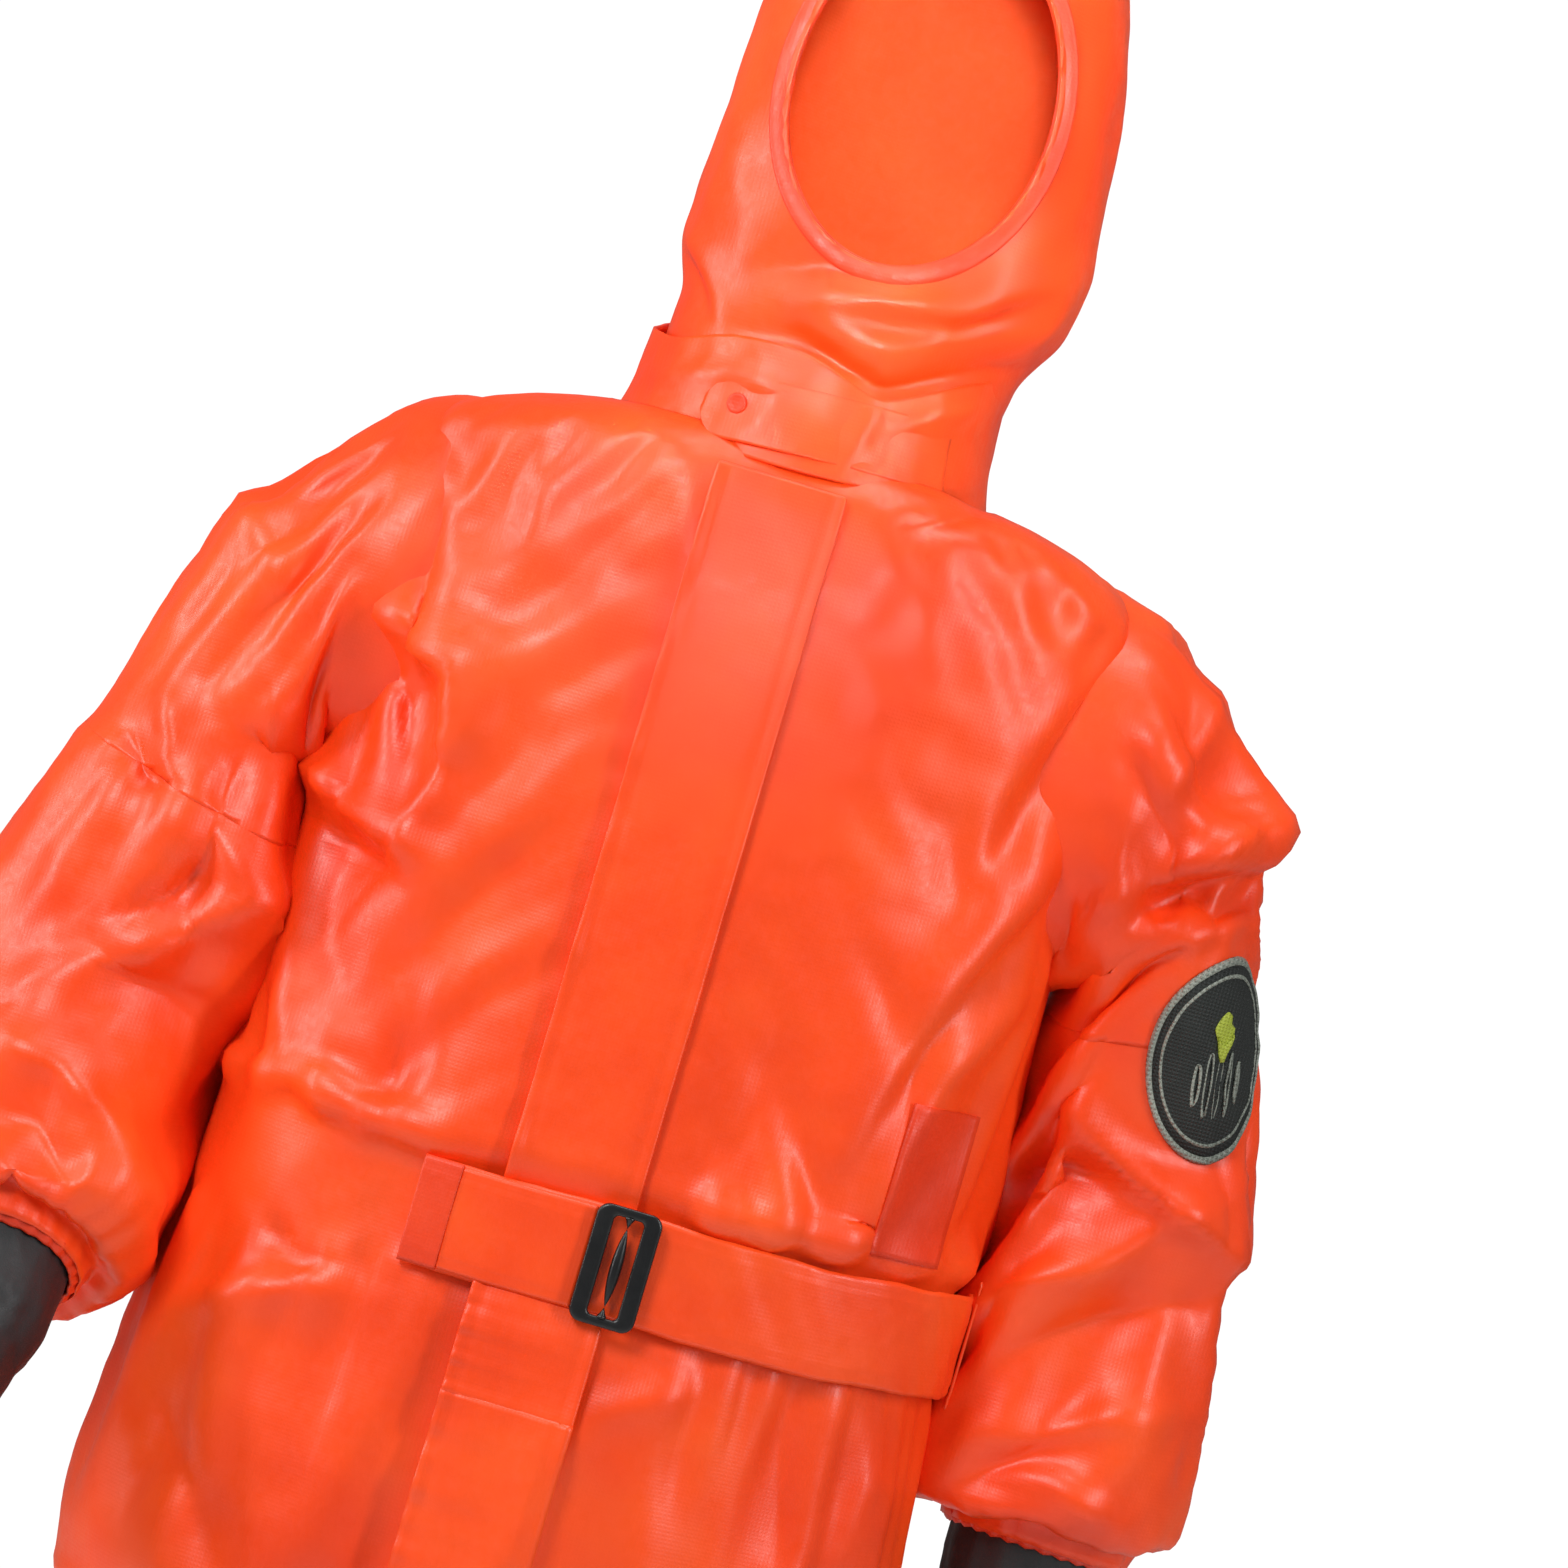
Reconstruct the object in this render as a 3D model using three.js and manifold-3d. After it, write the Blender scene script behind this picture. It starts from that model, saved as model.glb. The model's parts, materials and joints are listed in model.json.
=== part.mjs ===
// A hooded one-piece chemical protective suit of coated fabric, in the shape it takes when worn.
// Millimetres. Origin: the middle of the neck base. +Z up, -Y the front, +X the wearer's left.
import * as THREE from 'three';
import { mergeVertices } from 'three/addons/utils/BufferGeometryUtils.js';
import Module from 'manifold-3d';

const wasm = await Module();
wasm.setup();

// ---------------------------------------------------------------- driving dimensions

const WALL = 5; // the coated fabric with its folds and slack, as one solid wall
const GAP = 0.6; // between neighbouring pieces
const SQUARENESS = 2.4; // power of the body sections: 2 is an ellipse, more is boxier

// Body sections from the neck base down: half width, and depth of the front and of the back.
const BODY = [
  { z: 0, wide: 119, front: 112, back: 105 },
  { z: -12, wide: 164, front: 120, back: 112 },
  { z: -30, wide: 203, front: 129, back: 120 },
  { z: -60, wide: 216, front: 133, back: 128 },
  { z: -110, wide: 221, front: 135.5, back: 137 },
  { z: -180, wide: 222, front: 139, back: 142 },
  { z: -250, wide: 221, front: 142.5, back: 142 },
  { z: -330, wide: 222, front: 146.5, back: 138 },
  { z: -410, wide: 225, front: 150.5, back: 134 },
  { z: -480, wide: 227, front: 154, back: 134 },
  { z: -560, wide: 236, front: 158, back: 144 },
  { z: -640, wide: 240, front: 162, back: 152 },
  { z: -700, wide: 234, front: 160, back: 148 },
  { z: -724, wide: 222, front: 146, back: 136 },
];
const SEAT_TOP = -560; // the panels end and the seat begins
const CROTCH = -724;
const LEG_TOP = -740;
const PAST = 7; // how far a cut runs past the piece it opens
const PANEL_STEPS = 12; // facets round one panel

const ZIP = { x: -5, top: -34, bottom: -556, tape: 13, tapeOff: [0.4, 1.6] };
const SLIDER = { half: 4.5, top: -60, bottom: -74, off: [2.2, 4.2] };
const PULL = { half: 3, top: -66, bottom: -92, off: [4.6, 5.8] };
const FLAP = { left: 31, right: -43, top: -24, bottom: -556, lift: 7, thick: 3 };
const FLAP_CLEAR = 7; // between the flap's cloth and the belt's edge
const STRIP = { right: -40, left: -23, top: -50, hookOff: [0.4, 2.2], loopOff: [4.4, 6.4] };
const BELT = { z: -464, tall: 60, lift: 7.6, thick: 3.2, right: -85, end: 268 };
const TAIL = { left: 9, tip: -85, tipLong: 22, thick: 2.6 };
const KEEPER = { turn: [84, 93], beyond: 8, off: [12, 14.5] }; // turns in degrees from the front
const SIDE_PATCH = { turn: [57, 68], z: [-334, -420], off: [0.4, 2.4] };
const BUCKLE = { x: 30, wide: 37, tall: 67, thick: 5, holeWide: 17, holeTall: 56, corner: 7, bar: 4 };

const COLLAR = { top: 66, base: 1, bend: 22, flare: 8, wide: 104, deep: 112, y: -2 };
const NOTCH = { x: 34, z: 43, right: 70, left: 90, above: 20 }; // the V at the front of the collar
const TAB = { left: 82, right: -60, base: 1, top: 41, off: [1.5, 4.5] };
const SNAP = { x: -40, z: 30, radius: 6, thick: 1.6, off: 5.6 };
const HOOD_BASE = 88;
// Hood sections from the neck seam up: middle x, half width, depth of front and back, all at height z.
const HOOD = [
  { z: HOOD_BASE, x: 8, wide: 106, front: 104, back: 112 },
  { z: 125, x: 13, wide: 113, front: 112, back: 124 },
  { z: 175, x: 14, wide: 112, front: 113, back: 132 },
  { z: 235, x: 13, wide: 108, front: 113, back: 136 },
  { z: 290, x: 11, wide: 98, front: 106, back: 128 },
  { z: 335, x: 9, wide: 80, front: 88, back: 104 },
  { z: 366, x: 7, wide: 50, front: 56, back: 66 },
  { z: 380, x: 6, wide: 12, front: 14, back: 16 },
];
const FACE = { x: 9, z: 208, wide: 74, tall: 99, seal: 12, proud: 2 };
const CROWN = { half: 22, brow: 337, back: 30 }; // the strip that joins the hood's two sides
const NECK = { x: 2, y: -2, wide: 93, deep: 98, base: 6, above: 3 }; // the hood's neck, inside the collar
const FAR = 500; // past every piece

const HIP = { x: 116, y: 5, wide: 110, deep: 122 };
const LEG = [
  { z: -740, x: 116, wide: 110, deep: 122 },
  { z: -800, x: 116, wide: 108, deep: 116 },
  { z: -935, x: 119, wide: 98, deep: 104 },
  { z: -1065, x: 121, wide: 90, deep: 96 },
  { z: -1180, x: 124, wide: 86, deep: 90 },
  { z: -1255, x: 125, wide: 82, deep: 86 },
  { z: -1296, x: 125, wide: 72, deep: 76 },
];
const BOOT = { x: 126, y: 12, top: -1245, ankle: -1383, foot: -1407, sole: -1480, welt: -1468 };
// Boot sections from heel to toe: half width and height of the top.
const FOOT = [
  { y: 84, wide: 20, top: -1432 },
  { y: 72, wide: 34, top: -1410 },
  { y: 30, wide: 38, top: -1404 },
  { y: -25, wide: 42, top: -1408 },
  { y: -75, wide: 47, top: -1420 },
  { y: -120, wide: 50, top: -1430 },
  { y: -160, wide: 45, top: -1438 },
  { y: -186, wide: 30, top: -1446 },
  { y: -196, wide: 12, top: -1453 },
];

// Each arm: armhole and shoulder sections (outer and inner corner, x and z), then the arm's own line.
const ARM_HALF_GAP = 60; // half the length of the loose stretch at the elbow
const ARMS = {
  right: {
    shoulder: [
      { outer: [-196, -21], inner: [-208, -252], y: 5, deep: 95 },
      { outer: [-262, -58], inner: [-226, -248], y: 6, deep: 92 },
      { outer: [-312, -112], inner: [-232, -246], y: 8, deep: 86 },
    ],
    start: [-288, 10, -212],
    elbow: [-328, 25, -385],
    wrist: [-312, -104, -556],
    widths: [57, 64, 71, 75],
  },
  left: {
    shoulder: [
      { outer: [196, -21], inner: [208, -252], y: 8, deep: 95 },
      { outer: [264, -48], inner: [226, -244], y: 10, deep: 92 },
      { outer: [312, -96], inner: [231, -238], y: 12, deep: 86 },
    ],
    start: [283, 16, -194],
    elbow: [317, 58, -385],
    wrist: [310, 42, -557],
    widths: [51, 58, 66, 67],
  },
};
const SLEEVE = { start: 80, middle: 79, end: 77, elbow: 78, fore: 82, low: 74, cuff: 57, cuffLong: 14 };
const GLOVE = { radius: 50, inside: 26, beyond: 45, wristLong: 22, wrist: 42 };
// The badge lies on a cone: its bend, and the cone's half width and depth at its two ends.
const BADGE = { wide: 80, tall: 124, thick: 2.5, lift: 1.2, down: 66, turn: 64, bend: 66 };
const BADGE_CONE = { wide: [51, 70], deep: [80, 77], long: 145 };

// ---------------------------------------------------------------- materials

const cloth = (color, roughness = 0.35) => () =>
  new THREE.MeshStandardMaterial({ color, roughness, metalness: 0 });
const orange = cloth(0xff5a2c, 0.32);
const orangeDark = cloth(0xd93a14, 0.4);
const tapeRed = cloth(0xb82a10, 0.7);
const blackRubber = cloth(0x232626, 0.55);
const blackPlastic = cloth(0x17191a, 0.35);
const badgeBlack = cloth(0x1d201f, 0.6);
const zipMetal = () => new THREE.MeshStandardMaterial({ color: 0xb9bcc0, roughness: 0.3, metalness: 1 });

// ---------------------------------------------------------------- solids

/** A geometry with shared corners merged, empty faces dropped and every face turned out. */
function closed(geometry) {
  geometry.deleteAttribute('normal');
  geometry.deleteAttribute('uv');
  const merged = mergeVertices(geometry, 1e-4);
  const at = (k) => new THREE.Vector3().fromBufferAttribute(merged.attributes.position, k);
  const faces = [];
  let volume = 0;
  for (let k = 0; k < merged.index.count; k += 3) {
    const [a, b, c] = [0, 1, 2].map((n) => merged.index.getX(k + n));
    if (a === b || b === c || c === a) continue;
    faces.push([a, b, c]);
    volume += at(a).dot(at(b).cross(at(c)));
  }
  merged.setIndex(faces.flatMap(([a, b, c]) => (volume < 0 ? [a, c, b] : [a, b, c])));
  return merged;
}

/** The solid of a closed geometry. */
function solidOf(geometry) {
  return new wasm.Manifold(
    new wasm.Mesh({
      numProp: 3,
      vertProperties: new Float32Array(geometry.attributes.position.array),
      triVerts: new Uint32Array(geometry.index.array),
    }),
  );
}

/** The geometry of a solid. */
function geometryOf(solid) {
  const mesh = solid.getMesh();
  const geometry = new THREE.BufferGeometry();
  geometry.setAttribute('position', new THREE.BufferAttribute(mesh.vertProperties, 3));
  geometry.setIndex([...mesh.triVerts]);
  return geometry;
}

/** The largest of a solid's separate bodies, without the crumbs that a cut leaves. */
function largest(solid) {
  return solid.decompose().reduce((best, body) => (body.volume() > best.volume() ? body : best));
}

/** A box solid between two corners. */
function boxSolid([x0, y0, z0], [x1, y1, z1]) {
  const box = new THREE.BoxGeometry(x1 - x0, y1 - y0, z1 - z0);
  box.translate((x0 + x1) / 2, (y0 + y1) / 2, (z0 + z1) / 2);
  return solidOf(closed(box));
}

const signedPower = (value, power) => Math.sign(value) * Math.abs(value) ** power;

/** A point of a ring, from its middle and its half widths across, to the front and to the back. */
function ringPoint(ring, angle, grow = 0) {
  const power = 2 / (ring.power ?? 2);
  const depth = Math.sin(angle) < 0 ? ring.back : ring.deep;
  const across = ring.across.clone().setLength(ring.across.length() + grow);
  const along = depth.clone().setLength(depth.length() + grow);
  return ring.middle
    .clone()
    .addScaledVector(across, signedPower(Math.cos(angle), power))
    .addScaledVector(along, Math.abs(Math.sin(angle)) ** power);
}

/** A turned profile whose corners are moved onto rings: place(profile index, angle) gives each corner. */
function ringed(corners, sides, place) {
  const profile = corners.map((corner) => new THREE.Vector2(...corner));
  const geometry = new THREE.LatheGeometry(profile, sides);
  const position = geometry.attributes.position;
  for (let k = 0; k < position.count; k++) {
    const turn = Math.floor(k / profile.length) % sides;
    position.setXYZ(k, ...place(k % profile.length, (turn / sides) * 2 * Math.PI).toArray());
  }
  return closed(geometry);
}

/** An open-ended tube through the rings, with its wall on the inside. */
function tube(rings, wall = WALL, sides = 16) {
  const last = rings.length - 1;
  const up = rings.map((_, k) => [2, k]);
  const down = rings.map((_, k) => [1, last - k]);
  return ringed([...up, ...down, [2, 0]], sides, (k, angle) => {
    const inside = k > last && k <= 2 * last + 1;
    const ring = k <= last ? k : inside ? 2 * last + 1 - k : 0;
    return ringPoint(rings[ring], angle, inside ? -wall : 0);
  });
}

/** A filled, flat-ended body through the rings. */
function filled(rings, grow = 0, sides = 16) {
  const last = rings.length - 1;
  const corners = [[0, 0], ...rings.map((_, k) => [1, k]), [0, last]];
  return ringed(corners, sides, (k, angle) => {
    if (k === 0) return rings[0].middle.clone();
    if (k === last + 2) return rings[last].middle.clone();
    return ringPoint(rings[k - 1], angle, grow);
  });
}

/** A sheet: a box whose corners are moved to place(u, v, depth), each from 0 to 1. */
function sheet(uSteps, vSteps, place) {
  const geometry = new THREE.BoxGeometry(1, 1, 1, uSteps, 1, vSteps);
  const position = geometry.attributes.position;
  for (let k = 0; k < position.count; k++) {
    const at = new THREE.Vector3().fromBufferAttribute(position, k).addScalar(0.5);
    position.setXYZ(k, ...place(at.x, at.z, at.y).toArray());
  }
  return closed(geometry);
}

const mix = THREE.MathUtils.lerp;

/** A row of a table of sections at height z, by straight lines between its rows. */
function sectionAt(table, z) {
  const step = Math.sign(table[1].z - table[0].z);
  let k = table.findIndex((row) => (row.z - z) * step >= 0);
  k = k === -1 ? table.length - 1 : Math.max(k, 1);
  const [low, high] = [table[k - 1], table[k]];
  const share = (z - low.z) / (high.z - low.z);
  return Object.fromEntries(Object.keys(low).map((key) => [key, mix(low[key], high[key], share)]));
}

/** A level ring of the body or the hood: the front is -Y. */
function levelRing(row, z = row.z) {
  return {
    middle: new THREE.Vector3(row.x ?? 0, row.y ?? 0, z),
    across: new THREE.Vector3(row.wide, 0, 0),
    deep: new THREE.Vector3(0, -(row.front ?? row.deep), 0),
    back: new THREE.Vector3(0, row.back ?? row.deep, 0),
    power: row.power,
  };
}

/** The angle round the body, from the front, where its surface has this x. */
function angleAtX(x, z) {
  const share = Math.min(Math.abs(x) / sectionAt(BODY, z).wide, 1);
  return Math.sign(x) * Math.asin(share ** (SQUARENESS / 2));
}

/** A point of the body's surface, by the angle from the front towards the wearer's left. */
function bodyPoint(angle, z, grow = 0) {
  const row = { ...sectionAt(BODY, z), power: SQUARENESS };
  return ringPoint(levelRing(row, z), Math.PI / 2 - angle, grow);
}

/** The two ends of a stretch of the body, with the body sections' heights between them. */
function heightsBetween(z0, z1) {
  const between = BODY.map((row) => row.z).filter((z) => (z - z0) * (z - z1) < 0);
  return [z0, ...(z1 < z0 ? between : between.reverse()), z1];
}

/** A patch of the body's surface between two x and two z, at a height off the cloth. */
function frontPatch([x0, x1], [z0, z1], [low, high], uSteps = 4) {
  const heights = heightsBetween(z0, z1);
  const steps = heights.length - 1;
  return sheet(uSteps, steps, (u, v, depth) => {
    const z = heights[Math.round(v * steps)];
    return bodyPoint(angleAtX(mix(x0, x1, u), z), z, mix(low, high, depth));
  });
}

/** A patch round the body between two angles in degrees. */
function wrapPatch([a0, a1], [z0, z1], [low, high], uSteps, vSteps = 1) {
  return sheet(uSteps, vSteps, (u, v, depth) => {
    const angle = THREE.MathUtils.degToRad(mix(a0, a1, u));
    return bodyPoint(angle, mix(z0, z1, v), mix(low, high, depth));
  });
}

const suit = new THREE.Group();

/** Adds one named piece to the suit. */
function add(name, geometry, material, parent = suit) {
  const mesh = new THREE.Mesh(geometry, material());
  mesh.name = name;
  parent.add(mesh);
  return mesh;
}

// ---------------------------------------------------------------- arms

/** A ring square to a limb: across is as near to the wearer's side as the limb's line allows. */
function limbRing(middle, line, wide, deep) {
  const along = new THREE.Vector3(0, -1, 0).addScaledVector(line, line.y).normalize();
  const across = new THREE.Vector3().crossVectors(along, line).normalize();
  return {
    middle: middle.clone(),
    across: across.multiplyScalar(wide),
    deep: along.clone().multiplyScalar(deep),
    back: along.clone().multiplyScalar(-deep),
  };
}

/** A ring of the shoulder, from its outer and inner corners. */
function shoulderRing({ outer, inner, y, deep }) {
  const top = new THREE.Vector3(outer[0], y, outer[1]);
  const bottom = new THREE.Vector3(inner[0], y, inner[1]);
  const side = Math.sign(outer[0]);
  return {
    middle: top.clone().add(bottom).multiplyScalar(0.5),
    across: top.clone().sub(bottom).multiplyScalar(0.5 * side),
    deep: new THREE.Vector3(0, -deep, 0),
    back: new THREE.Vector3(0, deep, 0),
  };
}

/** The lines and rings that one arm's pieces share. */
function armLines(arm) {
  const [start, elbow, wrist] = [arm.start, arm.elbow, arm.wrist].map((p) => new THREE.Vector3(...p));
  const upper = elbow.clone().sub(start).normalize();
  const fore = wrist.clone().sub(elbow).normalize();
  const onUpper = (mm, wide, deep) =>
    limbRing(start.clone().addScaledVector(upper, mm), upper, wide, deep);
  const onFore = (mm, wide, deep = wide) =>
    limbRing(elbow.clone().addScaledVector(fore, mm), fore, wide, deep);
  const upperLong = start.distanceTo(elbow) - ARM_HALF_GAP;
  const foreLong = elbow.distanceTo(wrist);
  return { start, elbow, wrist, upper, fore, onUpper, onFore, upperLong, foreLong };
}

const PLUG_DEEP = 60; // how far the armhole's cut reaches into the body
const SHOULDER_GAP = 5; // the last shoulder ring leans, so it stops short of the sleeve
const shoulderPlugs = [];

/** A glove's hand: palm, four fingers and thumb in one moulding, hollow in the palm. */
function handSolid(root, line, side) {
  const thumbWay = new THREE.Vector3(0, -1, 0).addScaledVector(line, line.y).normalize();
  const flat = new THREE.Vector3().crossVectors(thumbWay, line).normalize();
  const palmRing = (mm, wide, thick, grow = 0) => ({
    middle: root.clone().addScaledVector(line, mm),
    across: flat.clone().multiplyScalar(thick + grow),
    deep: thumbWay.clone().multiplyScalar(wide + grow),
    back: thumbWay.clone().multiplyScalar(-wide - grow),
  });
  const palm = [
    [0, 40, 38],
    [30, 42, 28],
    [70, 46, 21],
    [98, 42, 17],
  ];
  const hollow = [
    [-5, 35, 33],
    [30, 37, 23],
    [70, 40, 15],
    [84, 36, 12],
  ];
  const digit = (from, way, radius, long) => {
    const capsule = new THREE.CapsuleGeometry(radius, long, 3, 8);
    capsule.translate(0, long / 2, 0);
    capsule.applyQuaternion(new THREE.Quaternion().setFromUnitVectors(new THREE.Vector3(0, 1, 0), way));
    capsule.translate(...from.toArray());
    return solidOf(closed(capsule));
  };
  const curl = flat.clone().multiplyScalar(-side * 0.22);
  let hand = solidOf(filled(palm.map((row) => palmRing(...row)), 0, 14));
  [
    [30, 62, 10.5],
    [10.5, 70, 11],
    [-10.5, 64, 10.5],
    [-30, 48, 9.5],
  ].forEach(([across, long, radius]) => {
    const from = root.clone().addScaledVector(line, 90).addScaledVector(thumbWay, across);
    hand = hand.add(digit(from, line.clone().add(curl).normalize(), radius, long));
  });
  const thumbFrom = root.clone().addScaledVector(line, 34).addScaledVector(thumbWay, 26);
  const thumbLine = line.clone().addScaledVector(thumbWay, 0.62).add(curl).normalize();
  hand = hand.add(digit(thumbFrom, thumbLine, 12.5, 62));
  return hand.subtract(solidOf(filled(hollow.map((row) => palmRing(...row)), 0, 12)));
}

/** All the pieces of one arm, and the plug that cuts its armhole. */
function buildArm(side, arm) {
  const sign = side === 'left' ? 1 : -1;
  const { elbow, wrist, upper, fore, onUpper, onFore, upperLong, foreLong } = armLines(arm);
  const [w0, w1, w2, w3] = arm.widths;
  const shoulder = arm.shoulder.map(shoulderRing);
  const deepInside = { ...shoulder[0], middle: shoulder[0].middle.clone() };
  deepInside.middle.x -= sign * PLUG_DEEP;
  shoulderPlugs.push(solidOf(filled([deepInside, ...shoulder], GAP, 20)));

  const shoulderEnd = onUpper(-SHOULDER_GAP, w0, SLEEVE.start);
  add(`${side}_shoulder_section`, tube([...shoulder, shoulderEnd], WALL, 20), orange);
  add(
    `${side}_upper_sleeve`,
    tube([
      onUpper(0, w0, SLEEVE.start),
      onUpper(upperLong * 0.5, w1, SLEEVE.middle),
      onUpper(upperLong, w2, SLEEVE.end),
    ]),
    orange,
  );
  const bend = limbRing(elbow, upper.clone().add(fore).normalize(), w3, SLEEVE.elbow);
  add(
    `${side}_elbow_section`,
    tube([
      onUpper(upperLong + GAP, w2, SLEEVE.end),
      bend,
      onFore(ARM_HALF_GAP - GAP, w3, SLEEVE.elbow),
    ]),
    orange,
  );
  add(
    `${side}_forearm_sleeve`,
    tube([
      onFore(ARM_HALF_GAP, w3, SLEEVE.elbow),
      onFore(mix(ARM_HALF_GAP, foreLong, 0.4), w3 + 1, SLEEVE.fore),
      onFore(mix(ARM_HALF_GAP, foreLong, 0.75), w3 - 2, SLEEVE.low),
      onFore(foreLong, SLEEVE.cuff, SLEEVE.cuff),
    ]),
    orange,
  );
  const cuffEnd = foreLong + SLEEVE.cuffLong;
  add(
    `${side}_sleeve_cuff`,
    tube([onFore(foreLong + GAP, SLEEVE.cuff), onFore(cuffEnd, SLEEVE.cuff - 1)]),
    orangeDark,
  );
  const gauntletEnd = foreLong + GLOVE.beyond;
  add(
    `${side}_glove_gauntlet`,
    tube([
      onFore(foreLong - GLOVE.inside, GLOVE.radius),
      onFore(cuffEnd, GLOVE.radius),
      onFore(gauntletEnd, GLOVE.radius - 3),
    ]),
    blackRubber,
  );
  const wristEnd = gauntletEnd + GLOVE.wristLong;
  add(
    `${side}_wrist_section`,
    tube([onFore(gauntletEnd + GAP, GLOVE.radius - 3), onFore(wristEnd - GAP, GLOVE.wrist - 2)]),
    blackRubber,
  );
  const handRoot = wrist.clone().addScaledVector(fore, wristEnd - foreLong);
  add(`${side}_glove_hand`, geometryOf(handSolid(handRoot, fore, sign)), blackRubber);
}

Object.entries(ARMS).forEach(([side, arm]) => buildArm(side, arm));

// ---------------------------------------------------------------- body panels

const rowHeights = heightsBetween(BODY[0].z, SEAT_TOP);

/** One body panel between two edges, each given as an angle for every height. */
function bodyPanel(firstEdge, lastEdge) {
  const rows = rowHeights.length - 1;
  const panel = sheet(PANEL_STEPS, rows, (u, v, depth) => {
    const z = rowHeights[Math.round(v * rows)];
    return bodyPoint(mix(firstEdge(z), lastEdge(z), u), z, mix(-WALL, 0, depth));
  });
  return largest(shoulderPlugs.reduce((solid, plug) => solid.subtract(plug), solidOf(panel)));
}

const SIDE = Math.PI / 2;
const SEAM = 0.0025; // radians: the gap at a side seam
add(
  'front_left_panel',
  geometryOf(bodyPanel((z) => angleAtX(ZIP.x + GAP, z), () => SIDE - SEAM)),
  orange,
);
add(
  'front_right_panel',
  geometryOf(bodyPanel(() => SEAM - SIDE, (z) => angleAtX(ZIP.x - GAP, z))),
  orange,
);
add('back_panel', geometryOf(bodyPanel(() => SIDE + SEAM, () => 3 * SIDE - SEAM)), orange);

/** The seat: the lower body and the tops of both legs in one shell. */
function seatSolid() {
  const lower = (grow, top, bottom) => {
    const heights = [top, -640, -700, bottom];
    const rings = heights.map((z) => levelRing({ ...sectionAt(BODY, z), power: SQUARENESS }, z));
    return solidOf(filled(rings, grow, 24));
  };
  const leg = (sign, grow, bottom) => {
    const ring = (z, wide, deep) => levelRing({ x: sign * HIP.x, y: HIP.y, wide, deep }, z);
    return solidOf(filled([ring(-670, 100, 110), ring(bottom, HIP.wide, HIP.deep)], grow, 20));
  };
  const bothLegs = (trunk, grow, bottom) =>
    [-1, 1].reduce((all, sign) => all.add(leg(sign, grow, bottom)), trunk);
  const outside = bothLegs(lower(0, SEAT_TOP - GAP, CROTCH), 0, LEG_TOP);
  const inside = bothLegs(lower(-WALL, SEAT_TOP + PAST, CROTCH + WALL), -WALL, LEG_TOP - PAST);
  return outside.subtract(inside);
}

add('seat_and_crotch', geometryOf(seatSolid()), orange);

// ---------------------------------------------------------------- front closure

add(
  'zip_tape_left',
  frontPatch([ZIP.x + GAP, ZIP.x + ZIP.tape], [ZIP.top, ZIP.bottom], ZIP.tapeOff, 1),
  tapeRed,
);
add(
  'zip_tape_right',
  frontPatch([ZIP.x - ZIP.tape, ZIP.x - GAP], [ZIP.top, ZIP.bottom], ZIP.tapeOff, 1),
  tapeRed,
);

/** A small metal piece on the line of the zip. */
const onZip = ({ half, top, bottom, off }) =>
  frontPatch([ZIP.x - half, ZIP.x + half], [top, bottom], off, 1);
add('zip_slider', onZip(SLIDER), zipMetal);
add('zip_pull', onZip(PULL), zipMetal);

const flapEdges = [FLAP.right, FLAP.left];
const flapOff = [FLAP.lift, FLAP.lift + FLAP.thick];
const beltTop = BELT.z + BELT.tall / 2;
const beltBottom = BELT.z - BELT.tall / 2;
const upperFlap = [FLAP.top, beltTop + FLAP_CLEAR];
const lowerFlap = [beltBottom - FLAP_CLEAR, FLAP.bottom];
add('storm_flap_upper', frontPatch(flapEdges, upperFlap, flapOff), orange);
add('storm_flap_lower', frontPatch(flapEdges, lowerFlap, flapOff), orange);
const stripEdges = [STRIP.right, STRIP.left];
const stripHeights = [STRIP.top, beltTop + FLAP_CLEAR + 1];
add('flap_hook_strip', frontPatch(stripEdges, stripHeights, STRIP.hookOff, 1), orangeDark);
add('flap_loop_strip', frontPatch(stripEdges, stripHeights, STRIP.loopOff, 1), orangeDark);

// ---------------------------------------------------------------- belt

const beltOff = [BELT.lift, BELT.lift + BELT.thick];
const rightEnd = THREE.MathUtils.radToDeg(angleAtX(BELT.right, BELT.z));
add('belt_band', wrapPatch([rightEnd, BELT.end], [beltBottom, beltTop], beltOff, 26), orange);
const tailOff = [beltOff[1] + 0.6, beltOff[1] + 0.6 + TAIL.thick];
add(
  'belt_tail',
  frontPatch([TAIL.tip + TAIL.tipLong + GAP, TAIL.left], [beltBottom + 1, beltTop - 1], tailOff, 5),
  orange,
);
add(
  'belt_tail_tip',
  frontPatch([TAIL.tip, TAIL.tip + TAIL.tipLong], [beltBottom, beltTop], [tailOff[0], tailOff[1] + 1], 2),
  orangeDark,
);
const keeperHeights = [beltBottom - KEEPER.beyond, beltTop + KEEPER.beyond];
add('belt_keeper_left', wrapPatch(KEEPER.turn, keeperHeights, KEEPER.off, 2), orange);
add('side_patch_left', wrapPatch(SIDE_PATCH.turn, SIDE_PATCH.z, SIDE_PATCH.off, 2, 2), orangeDark);

/** A rectangle with round corners, as a path or a hole. */
function roundRectangle(wide, tall, radius, Kind = THREE.Shape) {
  const shape = new Kind();
  const [x, y] = [wide / 2 - radius, tall / 2 - radius];
  shape.absarc(x, y, radius, 0, Math.PI / 2);
  shape.absarc(-x, y, radius, Math.PI / 2, Math.PI);
  shape.absarc(-x, -y, radius, Math.PI, 1.5 * Math.PI);
  shape.absarc(x, -y, radius, 1.5 * Math.PI, 2 * Math.PI);
  shape.closePath();
  return shape;
}

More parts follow.
